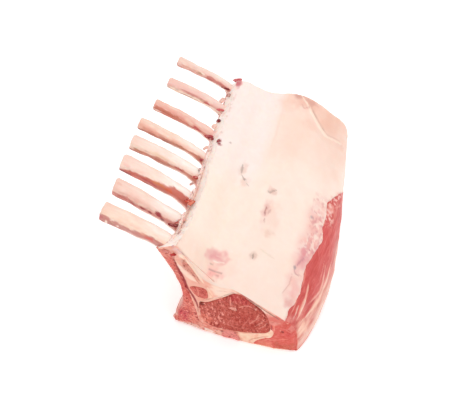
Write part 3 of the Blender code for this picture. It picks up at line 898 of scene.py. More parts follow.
capMuscles = {
    "capMuscleUpper": {
        "rows": (
            (7.4, 84.5, 6, 84), (12, 85, 13, 84.5, 0, 1), (18.4, 76, 24, 81, 0, 2),
            (23, 65.5, 27, 77.5, 0, 2), (17, 68.5, 16, 79.5, 0, 2), (9, 76.5, 6, 80, 0, 1),
        ),
        "node": "cap_muscle_upper",
        "tint": "#e4a491",
        "paleTint": "#eab29f",
        "edgeTint": "#e9ae9b",
        "blots": (((11, 81), (2.4, 3), "#cf8070", 0.85), ((17.5, 74), (2, 5), "#d98f7e", 0.6)),
        "lines": ((((12, 81), (16, 74), (21, 65)), 0.9, "#c97c6c", 0.6),),
        "seed": 3,
    },
    "capMuscleLower": {
        "rows": (
            (13.6, 54.5, 14.5, 60), (21, 58.6, 20, 70), (27.6, 58, 26, 73),
            (29.2, 50.5, 27.5, 66), (27.6, 45.2, 21, 55), (19, 44.4, 16.5, 53),
        ),
        "node": "cap_muscle_lower",
        "tint": "#d3685c",
        "paleTint": "#df7c70",
        "edgeTint": "#b5584d",
        "blots": (((17, 49), (4, 6), "#de7567", 0.9), ((25, 54), (3.5, 4), "#c2524a", 0.8)),
        "lines": ((((20.5, 56), (21, 51), (20.4, 46)), 0.9, "#f0a392", 0.7),),
        "seed": 4,
    },
}
capMuscle = {
    "tissue": "slicedLoin",
    "slot": "cap_muscle",
    "points": 90,
    "face": {"rim": 0.3, "spacing": 0.5, "sink": 0.12, "swell": 0.45, "slope": 1.6},
}


def paintCapMuscle(look):
    def paint(solid):
        points = solid.points
        tint = plain(look["tint"], points)
        tint = clouds(tint, look["paleTint"], 0.75, points, (3.2, 71 + look["seed"], 3), 0.05, 0.6)
        tint = paintMarks(points[:, [0, 2]], tint, look["blots"], look["lines"], 300 + 10 * look["seed"])
        tint = mixInto(tint, look["edgeTint"], 0.7 * softStep(-solid.gap, -0.9, -0.1))
        return tint, points[:, [0, 2, 1]], np.full(len(points), 0.3)

    return paint


for name, look in capMuscles.items():
    makeLoft(name, {**capMuscle, **look}, closedLoops, cutRelief, paintCapMuscle(look))


chineMuscle = {
    "tissue": "slicedLoin",
    "slot": "surface_muscle",
    "node": "chine_muscle",
    "seed": 5,
    "points": 46,
    "footInset": 0.0,
    "footPoints": 16,
    "spacing": 2.2,
    "rows": (
        (38.4, 0, 40, 0), (38.6, 6.5, 41, 5), (43, 12.6, 45, 9.5),
        (49.6, 12.8, 52, 9.5), (54.4, 7, 56.4, 4.6), (54.4, 0, 57, 0),
    ),
    "face": {"rim": 0.4, "spacing": 0.55, "sink": 0.4, "swell": 0.8, "slope": 1.2},
    "tint": "#ef9a92",
}


def paintChine(solid):
    points = solid.points
    tint = plain(chineMuscle["tint"], points)
    tint = clouds(tint, "#ee8d84", 0.6, points, (4, 81, 2), 0, 0.7)
    tint = mixInto(tint, "#f2b5a4", 0.6 * softStep(-solid.gap, -0.8, -0.1) * (solid.zone > 0))
    return tint, points[:, [0, 2, 1]], np.full(len(points), 0.3)


makeLoft("chineMuscle", chineMuscle, openLoops, cutRelief, paintChine)

dorsalMuscle = {
    "tissue": "bareBackMuscle",
    "slot": "surface_muscle",
    "node": "dorsal_muscle",
    "seed": 6,
    "innerPoints": 70,
    "outerPoints": 96,
    "footInset": 0.15,
    "footPoints": 24,
    "rows": (
        (61, 0, 65, 0, 4, 0), (64.5, 8.6, 72, 7, 4, 0), (71, 14.6, 80, 13, 4, 0), (75.6, 17.6, 84, 19, 4, 0),
        (77, 23, 83, 25, 4, 0), (74, 28.5, 79, 33, 4, 0), (74, 36.5, 84, 41.5, 6, 9),
        (81, 40.5, 88, 44.5, 9, 15),
    ),
    "face": {"rim": 1.0, "spacing": 0.62, "sink": 0.6, "swell": 0.65, "slope": 1.8},
    "spacing": 0.8 * mm,
    "tint": "#d56460",
    "faceTint": "#de665a",
    "underFat": 9.0,  # how far it runs on beneath the fat
}
# The bare back laid out flat, as for the cap
backBlots = (
    ((135, 78), (9, 12), "#cc7f7b", 0.8), ((112, 1.5), (4, 4), "#e8968c", 0.8),
    ((117, 12), (4, 7), "#eb9f93", 0.75), ((110, 70), (10, 34), "#db6362", 0.5),
    ((120, 20), (4, 9), "#cc6263", 0.6), ((134, 42), (9, 22), "#e9ac9b", 0.85),
    ((128, 24), (4, 12), "#f8c9b0", 0.9), ((136, 20), (4, 8), "#dda096", 0.6),
    ((131, 6), (14, 8), "#fcd2ba", 0.95), ((147, 30), (10, 40), "#f9ddcd", 0.9),
    ((134, 70), (9, 22), "#d98884", 0.6), ((150, 90), (16, 50), "#f3c6b6", 0.7),
    ((112, 10), (4, 6), "#dd6b5f", 0.6), ((107, 96), (4, 7), "#f3b3a6", 0.7),
    ((113, 99), (3, 7), "#efa59a", 0.5),
)
backLines = (
    (((101, 41), (104, 33), (106, 25)), 1.4, "#f0a294", 0.7),
    (((109, 32), (113, 20), (115, 12), (118, 2)), 2.2, "#f8c3b0", 0.9),
    (((113, 21), (115, 15), (116.5, 8)), 1.3, "#fcdccb", 0.9),
    (((119, 54), (124, 42), (125, 35), (121, 26), (118, 18)), 2.2, "#f5b9a9", 0.85),
    (((126, 64), (129, 48), (129, 34), (125, 18), (122, 4)), 3.2, "#fbd2bd", 0.95),
    (((116, 56), (118, 46), (120, 38)), 1.0, "#eda297", 0.7),
    (((105, 66), (108, 58), (112, 50)), 0.9, "#e58a82", 0.5),
    (((113, 78), (118, 68), (122, 58)), 1.0, "#e98f85", 0.5),
    (((106, 88), (108, 90), (111, 89), (113, 93)), 0.9, "#fad0c3", 0.85),
    (((109, 100), (114, 106), (120, 112)), 1.4, "#f3ab9e", 0.7),
    (((107, 17), (109, 9), (110, 1)), 1.0, "#f3a797", 0.7),
    (((123, 12), (124.5, 6), (126, 0)), 1.4, "#e0867a", 0.6),
    (((130, 66), (136, 80), (140, 100)), 2.2, "#f7cbb9", 0.7),
    (((111, 14), (112.5, 8), (114, 2)), 0.9, "#fbd6c6", 0.8),
)
# The near cut face behind the eye, as (x, z)
backFaceBlots = (
    ((88, 24), (8, 12), "#de5f55", 0.7), ((92, 26), (3.5, 7), "#d8504a", 0.8),
    ((86.5, 27), (1.1, 1.9), "#8f2f2a", 0.9), ((80, 37), (7, 3.4), "#ea9a8d", 0.8),
    ((94, 32), (4, 5), "#e9958a", 0.7), ((74, 5), (7, 5), "#ea8c76", 0.75),
    ((90, 6), (8, 6), "#cf6450", 0.8),
)
backFaceLines = (
    (((79.8, 22), (80.3, 30), (79.6, 38)), 1.0, "#f19c8b", 0.8),
    (((83, 14), (87, 17), (93, 16)), 1.0, "#f0937f", 0.7),
    (((84, 32), (89, 30), (95, 25)), 0.9, "#ee9686", 0.6),
    (((77.6, 35), (78.3, 30), (77, 23)), 0.9, "#98393a", 0.7),
    (((70, 8.5), (76, 12.5), (82, 13)), 0.9, "#f3a892", 0.7),
)


def dorsalLoops(look, y):
    inner = evenRun(smoothRun(rowsAt(look["rows"], y), 8), look["innerPoints"])
    run, lengths = capRun(y)
    edge = edgeAt(y)
    below = lengths - edge[:, None]
    inset = 0.3 + 0.8 * (1 - softStep(below, 1, 9)) + 1.2 * np.exp(-y[:, None] / 6) * softStep(below, 14, 30)
    run = run + inwardFrom(run) * inset[..., None]
    start = edge - np.minimum(look["underFat"], 1.5 + 0.6 * y)
    labels = np.linspace(start, lengths[:, -1], look["outerPoints"], axis=1)
    outer = np.stack([columnsAt(*row) for row in zip(labels, lengths, run)])
    loops = footedRun(np.concatenate([inner, outer], axis=1), look["footInset"], look["footPoints"])
    return loops, np.pad(labels, ((0, 0), (look["innerPoints"], look["footPoints"])))


def dorsalRelief(solid):
    points = solid.points
    flat = np.column_stack([solid.run, points[:, 1]])
    strands = points * (1, 0.12, 1)
    wall = 0.3 * lumps(points, 14, 91, 2) + 0.18 * lumps(strands, 2.4, 92, 2)
    for number, (path, width, _, strength) in enumerate(backLines):
        wall += 0.35 * strength * lineMask(flat, path, width * 1.2, 400 + number)
    wall = wall * softStep(solid.run - edgeAt(points[:, 1]), 0, 5)
    return cutAndWall(solid, knifeRelief(points), wall)


def paintDorsal(solid):
    points, zone = solid.points, solid.zone
    y = points[:, 1]
    flat = np.column_stack([solid.run, y])
    tint = plain(dorsalMuscle["tint"], points)
    tint = clouds(tint, "#cf5855", 0.2, points * (1, 0.3, 1), (9, 95, 2), 0.1, 0.8)
    tint = paintMarks(flat, tint, backBlots, backLines, 400, 0.8)
    ragged = softStep(y, 80, 90) * softStep(-(solid.run - edgeAt(y)), -12, -4) * (zone == 0)
    tint = clouds(tint, "#f8cfc6", 0.85 * ragged, points, (2.0, 97, 3), 0.25, 0.5)
    film = softStep(solid.run, 118, 132) * softStep(lumps(points * (1, 0.15, 1), 3.5, 96, 2), -0.3, 0.5)
    fading = softStep(y, 48, 62) * softStep(-solid.run, -150, -138)
    tint = mixInto(tint, "#f7cdbc", 0.45 * film * (1 - fading))
    face = plain(dorsalMuscle["faceTint"], points)
    marked = paintMarks(points[:, [0, 2]], face, backFaceBlots, backFaceLines, 440)
    near = nearCut(solid, 0.35)
    tint = np.where(near[:, None], marked, tint)
    tint = np.where((zone == 2)[:, None], face, tint)
    fleck = 0.15 + 0.7 * blotMask(flat, (108, 88), (6, 12), 99) * (zone == 0) + 0.25 * near
    grain = np.where(zone[:, None] > 0, points[:, [0, 2, 1]], points * (1, 0.16, 1))
    return tint, grain, fleck


makeLoft("dorsalMuscle", dorsalMuscle, dorsalLoops, dorsalRelief, paintDorsal)

seamFat = {
    "tissue": "cutSeamFat",
    "slot": "seam_fat",
    "node": "seam_fat",
    "seed": 7,
    "points": 120,
    "footInset": 0.3,
    "footPoints": 30,
    "spacing": 2.4,
    "rows": (
        (22.5, 0, 23.5, 0), (20, 21, 21, 22), (40, 22, 42, 24), (62, 24, 64, 28),
        (80, 34, 86, 38, 3, 0), (90, 10, 95, 12, 3, 0), (90, 0, 94, 0, 3, 0),
    ),
    "face": {"rim": 0.3, "spacing": 0.6, "sink": 0.3, "swell": 0.3, "slope": 1.0},
    "tint": "#fbd3bc",
}
seamBlots = (
    ((30, 9), (9, 5), "#df7f6f", 0.95), ((26, 13), (5, 4), "#e8917f", 0.7),
    ((44, 11.8), (9, 1.8), "#cf6a5c", 0.9), ((60, 10), (7, 4.5), "#fbd6bb", 0.8),
    ((74, 17.5), (7, 3.6), "#fddcc2", 0.8), ((34, 1.5), (5, 1.6), "#c98b7c", 0.6),
    # The dark spot at (37, 5) is painted shade in the pit that the relief presses in
    ((37, 5), (2.6, 2.6), "#74292d", 1.0), ((39.6, 8), (1.4, 1.6), "#9a403b", 0.8),
    ((54.6, 3), (1.0, 3), "#d98a76", 0.6),
)
seamLines = (
    (((20, 4.5), (27, 3.6), (34, 2.6)), 5.0, "#fbe6d9", 0.95),
    # The next line is painted shadow along the foot of the near face, under the pale edge
    (((22, 0.7), (30, 0.8), (37, 0.7)), 0.9, "#a86a5c", 0.6),
    (((54, 12.5), (62, 15.2), (70, 19.4), (77, 21)), 0.9, "#d98a72", 0.6),
    (((60, 3), (63.5, 8), (72, 14.4), (77, 17.5)), 0.8, "#c9745f", 0.7),
)


def paintSeam(solid):
    points = solid.points
    tint = plain(seamFat["tint"], points)
    tint = clouds(tint, "#f2ad90", 0.7, points, (4, 111, 3), 0.15, 0.7)
    tint = mixInto(tint, "#e68c7b", 0.85 * softStep(-points[:, 0], -53, -48))
    granular = softStep(lumps(points, 1.6, 116, 2), 0.0, 0.5) * softStep(-points[:, 0], -52, -44)
    tint = paintMarks(points[:, [0, 2]], tint, seamBlots, seamLines, 500)
    tint = mixInto(tint, "#f7c4b2", 0.65 * granular)
    return tint, points[:, [0, 2, 1]], np.full(len(points), 0.2)


def seamRelief(solid):
    points = solid.points
    pit = blotMask(points[:, [0, 2]], (37, 5), (2.4, 2.4), 505) * (solid.zone == 1)
    return knifeRelief(points) - 1.6 * pit


makeLoft("seamFat", seamFat, openLoops, seamRelief, paintSeam)

# Ribs, from the far end: y where it leaves the meat, y of its tip, reach past the common path, width
ribs = {
    "tissue": "scrapedRibBone",
    "slot": "bone",
    "rows": (
        (175.2, 177, -4.2, 8.9), (150, 151.5, -4.2, 10.2), (121, 125, -1.8, 10.2), (97, 102.5, 2.8, 10.6),
        (78, 82, 2, 13), (54.5, 60.5, 2, 14.6), (31, 36.5, -0.9, 14.8), (9.5, 12, -0.6, 15.6),
    ),
    "path": ((8.5, 0), (11, 24), (9.8, 48), (3.2, 70), (-3.8, 84), (-13, 90.5), (-33, 97), (-56, 103)),
    "root": 5,  # the path point at which a rib leaves the meat
    "steps": 24,  # between two points of the path
    "overrun": 0.9,  # how far the rounded end goes past the path
    "hiddenSpacing": 4.0,
    "flatness": 0.7,
    "relief": 1.4,
    "widthInMeat": 0.82,
    "chestward": (0.3, 1, 1, 1, 0.8, 0.5, 0, 0),
    "sides": 52,
    "spacing": 0.8 * mm,
    "tipRim": 1.5,
    "tipRings": (0.72, 0.42, 0.12),  # how wide the rings are that run in over the sawn end
    "boxiness": 0.86,  # below 1 the section is boxier than an ellipse
    "bareLength": 50.0,
    "radian": 57,  # degrees
}

ribMeat = {
    "tissue": "slicedLoin",
    "slot": "rib_meat",
    "node": "rib_meat",
    "seed": 8,
    "chestPoints": 104,
    "topPoints": 8,
    "seamPoints": 90,
    "footInset": 0.1,
    "footPoints": 28,
    "seam": (
        (0, 93, -2, 88, 0, 0.6), (2.2, 84, 0.5, 80), (6, 73, 5, 71), (10.5, 60, 11, 59),
        (15, 44, 16, 44), (19, 28, 20, 28), (21, 17, 23, 18), (25.5, 9, 27, 10),
        (26.5, 0, 28, 0),
    ),
    "face": {"rim": 0.6, "spacing": 0.58, "sink": 0.3, "swell": 0.5, "slope": 1.4},
    "spacing": 0.9 * mm,
    "tint": "#e07f76",
}
# The near cut face of the meat between and under the ribs, as (x, z)
meatBlots = (
    ((-4, 84), (8, 15), "#ee9f90", 0.8), ((3, 64), (4, 14), "#e98f80", 0.6),
    ((0, 76), (5, 8), "#df6a5f", 0.7), ((8, 14), (5.5, 8), "#d5505b", 0.75),
    ((4, 30), (5, 9), "#e98a78", 0.6), ((14, 30), (5, 9), "#e47868", 0.7),
    ((16, 12), (5, 5), "#ec8f7c", 0.7), ((12, 46), (4, 7), "#da6257", 0.7),
    ((22, 8), (4, 4), "#f3b3a0", 0.8), ((17, 3.6), (6, 3), "#f8d6c6", 0.85),
    ((1.5, 17), (1.6, 7), "#f8d3c2", 0.8),
)
meatLines = (
    (((-1, 3), (-0.4, 8), (1.6, 14), (4, 20), (6, 26)), 1.6, "#f9d9c9", 0.85),
    (((0, 1.6), (8, 2.4), (16, 2.2), (26, 2.4)), 2.6, "#fae0d2", 0.85),
    # The next line is painted shadow along the foot of the near face, under the pale edge
    (((2, 0.6), (10, 0.5), (24, 0.6)), 0.8, "#8f3a38", 0.6),
    (((-9, 90), (-3.5, 79), (1.5, 67), (5.6, 55), (7.4, 44)), 1.2, "#f0a292", 0.7),
    (((5, 40), (9, 46), (12, 52)), 1.0, "#ef9686", 0.6),
    (((9, 10), (12, 20), (12, 30)), 0.9, "#c2424c", 0.7),
    (((4, 9), (5, 16), (8, 22)), 0.9, "#b93444", 0.6),
    (((14, 20), (17, 26), (18, 34)), 1.0, "#f2a390", 0.6),
)


def ribMeatLoops(look, y):
    chest = evenRun(smoothRun(chestRows(y), 10), look["chestPoints"])
    seam = evenRun(smoothRun(rowsAt(look["seam"], y), 8), look["seamPoints"])
    run = np.concatenate([chest, bridge(chest, seam, look["topPoints"]), seam], axis=1)
    return footedRun(run, look["footInset"], look["footPoints"]), None


def overRibs(points):
    # 1 over the middle of a rib on the chest side, 0 midway between two
    height = np.clip(points[:, 2] / 90, 0, 1)
    bump = np.zeros(len(points))
    for rootY, _, _, width in ribs["rows"]:
        half = width / 2 * (ribs["widthInMeat"] + (1 - ribs["widthInMeat"]) * height)
        bump = np.maximum(bump, 1 - softStep(np.abs(points[:, 1] - rootY), half * 0.5, half * 1.25))
    return bump * softStep(points[:, 2], 2, 16)


def ribMeatRelief(solid):
    points, zone, normals = solid.points, solid.zone, solid.normals
    chest = (zone == 0) * softStep(-normals[:, 0], 0.1, 0.5)
    wall = chest * (2.0 * overRibs(points) - 0.5 + 0.3 * lumps(points * (1, 0.5, 1), 8, 121, 2))
    wall += (zone == 0) * 0.14 * lumps(points, 2.5, 122, 2)
    rough = 0.16 * lumps(points * (1, 0, 1), 1.6, 123, 2)
    crease = 0.8 * lineMask(points[:, [0, 2]], creasePath, 2.0, 220) * (zone == 1)
    return cutAndWall(solid, knifeRelief(points) + rough - crease, wall)


def paintRibMeat(solid):
    points, zone, normals = solid.points, solid.zone, solid.normals
    y, z = points[:, 1], points[:, 2]
    places = points[:, [0, 2]]
    tint = plain(ribMeat["tint"], points)
    wall = (zone == 0).astype(float)
    bone = overRibs(points) * wall
    tint = clouds(tint, "#cf6a63", 0.5 * wall, points * (1, 0.4, 1), (9, 125, 2), 0, 0.8)
    tint = mixInto(tint, "#f1cbbd", 0.8 * bone)
    tint = clouds(tint, "#f0c0b0", 0.45 * wall, points, (12, 126, 3), 0.1, 0.8)
    top = wall * softStep(normals[:, 2], 0.2, 0.6) * softStep(z, 60, 80)
    top = np.maximum(top, wall * softStep(z, 82, 88) * softStep(y, 6, 14))
    tint = mixInto(tint, "#fdeee6", 0.92 * top)
    near = nearCut(solid, 0.4)
    face = plain("#dd7065", points)
    low = softStep(-z, -50, -32)
    face = clouds(face, "#ef9d90", 0.75 * low, points * (1.4, 1, 1), (2.0, 127, 3), 0.0, 0.45)
    face = clouds(face, "#c24c45", 0.6, points * (1.3, 1, 1), (2.4, 128, 3), 0.2, 0.55)
    face = paintMarks(places, face, meatBlots, meatLines, 520)
    # Painted shade: a dark red line in the crease where the rib meat meets the fat
    face = mixInto(face, "#a02a31", lineMask(places, creasePath, 2.4, 220))
    tint = np.where(near[:, None], face, tint)
    farFace = mixInto(plain("#e07468", points), "#ee998a", 0.5 * low)
    tint = np.where((zone == 2)[:, None], farFace, tint)
    grain = np.where(zone[:, None] > 0, points[:, [0, 2, 1]], points[:, [1, 2, 0]] * (0.5, 1, 1))
    return tint, grain, 0.3 + 0.6 * low * (zone > 0)


makeLoft("ribMeat", ribMeat, ribMeatLoops, ribMeatRelief, paintRibMeat)

# What each bare bone shows, from the far end. "strip" is the flesh left on its near flank: how far
# round it reaches, in degrees from straight up, at shares of the bare length. "spots" are share
# along, degrees round, length and height in drawing units, colour and strength.
# On each bone the upper side is painted lighter, as lit from above, and the near flank darker: painted shade
# over the flesh left there.
boneLooks = (
    {
        "white": 0.3, "top": "#f6dcd0", "tint": "#eebfb2", "fleshAndShade": "#d48a80",
        "edge": ((0, -24), (0.3, -40), (0.42, -106), (1, -112)),
        "spots": (
            (0.5, -62, 7, 3.0, "#c79a7e", 0.85), (0.42, -46, 4, 3, "#fdeadb", 0.9),
            (0.8, -60, 16, 4, "#e0a294", 0.6), (0.2, -75, 16, 3, "#b5605a", 0.7),
        ),
    },
    {
        "white": 0.2, "top": "#f4cfc5", "tint": "#edbcb2", "fleshAndShade": "#fbe7d4",
        "edge": ((0, -75), (0.3, -66), (0.8, -60), (1, -84)),
        "spots": (
            (0.13, -60, 9, 4, "#c95a58", 0.9), (0.25, -48, 8, 3, "#c9a283", 0.7),
            (0.5, -44, 30, 2, "#c98078", 0.7), (0.55, -98, 34, 1.6, "#a8675c", 0.8),
        ),
    },
    {
        "white": 0.2, "top": "#f3c2b4", "tint": "#e39b8c", "fleshAndShade": "#d0806c",
        "edge": ((0, -70), (0.35, -60), (0.5, -34), (0.95, -30), (1, -80)),
        "spots": (
            (0.1, -60, 9, 4, "#bd4a4a", 0.8), (0.28, -30, 10, 4, "#f0c8b4", 0.7),
            (0.9, -88, 9, 2, "#f9dfd3", 0.8), (0.7, -66, 22, 2, "#c46c58", 0.7),
        ),
    },
    {
        "white": 0.6, "top": "#f8dccc", "tint": "#efb8a5", "fleshAndShade": "#cf8a76",
        "edge": ((0, -40), (0.3, -50), (0.6, -62), (0.9, -80), (1, -95)),
        "spots": (
            (0.2, -62, 16, 3, "#b97a58", 0.75), (0.55, -20, 18, 2.5, "#fbe6d8", 0.6),
            (0.8, -60, 12, 4, "#e39d8a", 0.6), (0.5, -84, 26, 2, "#b06a58", 0.7),
        ),
    },
    {
        "white": 0.8, "top": "#fbe7dc", "tint": "#f8dacb", "fleshAndShade": "#d3927f",
        "edge": ((0, -46), (0.35, -50), (0.7, -62), (0.9, -78), (1, -90)),
        "spots": (
            (0.45, -35, 20, 3, "#ecd0b0", 0.6), (0.1, -62, 12, 4, "#bb5650", 0.8),
            (0.85, -72, 10, 2.5, "#b98468", 0.7), (0.5, -80, 26, 2, "#ad6656", 0.6),
        ),
    },
    {
        "white": 0.8, "top": "#fae2d7", "tint": "#fadccf", "fleshAndShade": "#cf7566",
        "edge": ((0, -14), (0.15, -22), (0.5, -28), (0.75, -42), (0.88, -62), (1, -84)),
        "spots": (
            (0.12, -50, 11, 4, "#d96c4c", 0.9), (0.5, -74, 22, 3, "#b8424c", 0.7),
            (0.9, -30, 9, 3, "#f5c3b8", 0.6), (0.9, -92, 14, 2, "#8d3a40", 0.8),
            (0.32, -44, 12, 2.5, "#d98a58", 0.7),
        ),
    },
    {
        "white": 0.8, "top": "#f8ddd1", "tint": "#f2cabd", "fleshAndShade": "#d8948b",
        "edge": ((0, -48), (0.2, -62), (0.5, -66), (0.7, -62), (0.95, -58), (1, -70)),
        "spots": (
            (0.13, -55, 7, 4, "#a3323a", 0.95), (0.27, -78, 4.5, 3, "#983c42", 0.95),
            (0.42, -78, 7, 3, "#a04446", 0.9), (0.6, -84, 8, 2.5, "#a85856", 0.8),
            (0.8, -78, 12, 3, "#c0685c", 0.7), (0.93, 0, 5, 3, "#e9b9a8", 0.6),
            (0.05, -75, 5, 4, "#8a2a32", 0.9),
        ),
    },
    {
        "white": 0.5, "top": "#fae1d2", "tint": "#fad8c4", "fleshAndShade": "#cf8d84",
        "edge": ((0, -40), (0.2, -50), (0.42, -58), (0.8, -58), (0.9, -50), (1, -44)),
        "spots": (
            (0.97, -72, 5, 5, "#c9777a", 0.85), (0.86, -84, 1.4, 5, "#fdeadd", 1.0),
            (0.66, -84, 1.4, 5, "#fdeadd", 1.0), (0.76, -86, 6, 1.6, "#a8776c", 0.7),
            (0.55, -86, 8, 1.6, "#b0806e", 0.7), (0.1, -66, 8, 6, "#d96358", 0.9),
            (0.22, -50, 8, 4, "#de8a78", 0.7), (0.76, -70, 1.2, 2, "#f7e3b0", 0.9),
        ),
    },
)


def boneSolid(rootY, tipY, reach, width, seed):
    # Rings round the rib's path: sparse inside the meat, fine where it is bare, rounded at its tip
    path = np.array(ribs["path"], float)
    last, root, steps = len(path) - 1, ribs["root"], ribs["steps"]
    out = np.clip((np.arange(last + 1) - root) / (last - root), 0, 1)
    bareHalf = width / 2 * ribs["flatness"]
    thickest = max(row[3] for row in ribs["rows"]) / 2 * ribs["flatness"]
    chestward = ribs["relief"] + thickest - bareHalf
    path[:, 0] -= reach * out + chestward * np.array(ribs["chestward"])
    bare = np.clip(np.arange(last + 1) / root, 0, 1)
    halfWidth = width / 2 * (ribs["widthInMeat"] + (1 - ribs["widthInMeat"]) * bare)
    halfThick = bareHalf * (0.9 + 0.1 * bare)
    line = np.column_stack([path, rootY + (tipY - rootY) * out, halfWidth, halfThick])
    line = smoothRun(line, steps)
    reachAlong = runLength(line[:, [0, 2, 1]])
    start = reachAlong[steps * (root - 1)]
    end = reachAlong[-1] + ribs["overrun"]
    rim = ribs["tipRim"]
    tip = end - rim + rim * np.sin(np.linspace(0, math.pi / 2, 6))
    bareRings = np.arange(start, end - rim - 0.4, ribs["spacing"])
    places = np.concatenate([np.arange(0, start, ribs["hiddenSpacing"]), bareRings, tip])
    rows = columnsAt(places, reachAlong, line)
    ahead = np.gradient(line[:, 0:2], axis=0)
    ahead[0] = (0, 1)
    ahead = columnsAt(places, reachAlong, ahead)
    ahead /= np.linalg.norm(ahead, axis=1, keepdims=True)
    beyond = np.clip(places - reachAlong[-1], 0, None)
    rows[:, 0:2] += ahead * beyond[:, None]
    inset = rim - np.sqrt(np.clip(rim**2 - np.clip(places - (end - rim), 0, None) ** 2, 0, None))
    added = len(ribs["tipRings"])
    lastRings = np.minimum(np.arange(len(places) + added), len(places) - 1)
    rows, ahead, places, inset = rows[lastRings], ahead[lastRings], places[lastRings], inset[lastRings]
    shrink = np.concatenate([np.ones(len(places) - added), ribs["tipRings"]])
    angle = 2 * math.pi * (np.arange(ribs["sides"]) + 0.5) / ribs["sides"]
    cosine, sine = (np.sign(way) * np.abs(way) ** ribs["boxiness"] for way in (np.cos(angle), np.sin(angle)))
    away = (rows[:, 4:5] - inset[:, None]) * cosine * shrink[:, None]
    aside = (rows[:, 3:4] - inset[:, None]) * sine * shrink[:, None]
    across, up = rows[:, 0:1] + away * ahead[:, 1:2], rows[:, 1:2] - away * ahead[:, 0:1]
    points = np.stack([across, rows[:, 2:3] + aside, up], axis=-1)
    rings, sides = points.shape[:2]
    index, quads = wallQuads(rings, sides)
    faces = quads[:, [0, 3, 2, 1]].tolist() + [index[0][::-1].tolist(), index[-1].tolist()]
    degrees = np.degrees(np.where(angle > math.pi, angle - 2 * math.pi, angle))
    share = (places - start) / (end - start)
    rootShare = (reachAlong[steps * root] - start) / (end - start)
    return SimpleNamespace(
        points=points.reshape(-1, 3),
        faces=faces,
        share=np.repeat((share - rootShare) / (1 - rootShare), sides),  # of the bare length
        along=np.repeat(places, sides),
        degrees=np.tile(degrees, rings),  # round the bone from straight up, below zero on its near side
        size=np.repeat(rows[:, 3], sides),
        end=np.repeat(np.arange(rings) >= rings - added, sides),
        seed=seed,
    )


def fleshOn(solid, look):
    # 1 where flesh was left on the near flank
    edge = np.array(look["edge"], float)
    limit = np.interp(solid.share, edge[:, 0], edge[:, 1])
    strands = np.column_stack([solid.along * 0.35, solid.degrees / 14, solid.along * 0])
    limit = limit + 11 * lumps(strands, 2.4, 141 + solid.seed, 3)
    under = softStep(-solid.degrees, 118, 140)  # the flank turns under the bone
    return softStep(limit - solid.degrees, -4, 5) * (solid.degrees < 0) * (1 - 0.35 * under)


def boneRelief(look):
    def relief(solid):
        points, seed = solid.points, solid.seed
        strands = np.column_stack([solid.along * 0.14, solid.degrees / 20, solid.along * 0])
        move = 0.3 * lumps(points, 8, 142 + seed, 2) + 0.22 * lumps(strands, 1.0, 152 + seed, 2)
        move += 0.3 * fleshOn(solid, look) + 0.08 * lumps(points, 1.8, 162 + seed, 2)
        # Each was scraped a little thinner on its near flank, most at the root
        flank = softStep(-solid.degrees, 40, 85) * softStep(solid.degrees, -165, -125)
        root = (1 - softStep(solid.share, 0.0, 0.35)) * softStep(solid.share, -0.15, 0.0)
        move -= flank * (0.8 + 0.9 * root)
        return np.where(solid.end, 0.15 * lumps(points, 1.6, 172 + seed), move)

    return relief


def paintBone(look):
    def paint(solid):
        points, seed = solid.points, solid.seed
        strands = np.column_stack([solid.along * 0.2, solid.degrees / 16, solid.along * 0])
        tint = plain(look["tint"], points)
        # Painted light and shade: the upper side lighter, the near flank below it darker
        tint = mixInto(tint, look["top"], softStep(solid.degrees, -40, 15))
        tint = clouds(tint, "#f7ead8", 0.4, strands, (1.6, 182 + seed, 2), 0.1, 0.9)
        nearSide = 0.35 * softStep(-solid.degrees, 0, 50)
        tint = clouds(tint, "#eaa394", nearSide, strands, (1.3, 192 + seed, 2), 0.2, 0.9)
        above = softStep(solid.degrees, -45, 10)
        tint = mixInto(tint, "#fff8f1", look["white"] * above * (1 - softStep(solid.share, 0.08, 0.45)))
        tint = mixInto(tint, "#eebfae", 0.4 * above * softStep(solid.share, 0.6, 1.0))
        # The flesh left on the near flank, in a colour that carries painted shade as well
        flesh = fleshOn(solid, look)
        tint = mixInto(tint, look["fleshAndShade"], flesh)
        rim = np.exp(-(((flesh - 0.35) / 0.2) ** 2)) * (solid.degrees < -20) * (solid.degrees > -125)
        tint = mixInto(tint, "#fbe6da", 0.55 * rim)
        # Thin darker lines where the scraped membrane ends, below and above; the lower one is also painted
        # shade under the pale rim of the flesh
        for turned, wide, colour, strength in ((-100, 9, "#8f544a", 0.85), (64, 8, "#c99a8c", 0.6)):
            line = np.exp(-(((solid.degrees - turned - 9 * lumps(strands, 3.0, 212 + seed)) / wide) ** 2))
            broken = softStep(lumps(strands * (1, 0, 1), 2.2, 222 + seed, 2), -0.5, 0.3)
            tint = mixInto(tint, colour, strength * line * broken)
        fine = softStep(lumps(strands, 0.7, 232 + seed, 2), 0.35, 0.7) * (solid.degrees < 10)
        tint = mixInto(tint, "#b98074", 0.35 * fine * softStep(-solid.degrees, 20, 60))
        under = softStep(np.abs(solid.degrees), 104, 125)
        tint = mixInto(tint, "#f4d3c6", 0.6 * under)
        for number, (share, degrees, long, high, colour, strength) in enumerate(look["spots"]):
            place = np.column_stack([
                (solid.share - share) * ribs["bareLength"] / long * 2,
                (solid.degrees - degrees) / ribs["radian"] * solid.size / high * 2,
                solid.share * 0,
            ])
            away = np.linalg.norm(place, axis=1) + 0.4 * lumps(strands, 0.8, 202 + seed + number, 2)
            tint = mixInto(tint, colour, strength * (1 - softStep(away, 0.55, 1.15)))
        root = 1 - softStep(solid.share, 0.15, 0.6)
        tint = mixInto(tint, "#fdeee5", 0.85 * root * softStep(-solid.degrees, 84, 100))
        tint = mixInto(tint, "#e9b9a6", 0.6 * solid.end)
        around = solid.degrees / ribs["radian"] * solid.size
        grain = np.column_stack([solid.along * 0.3, around, around * 0])
        return tint, grain, np.zeros(len(points))

    return paint


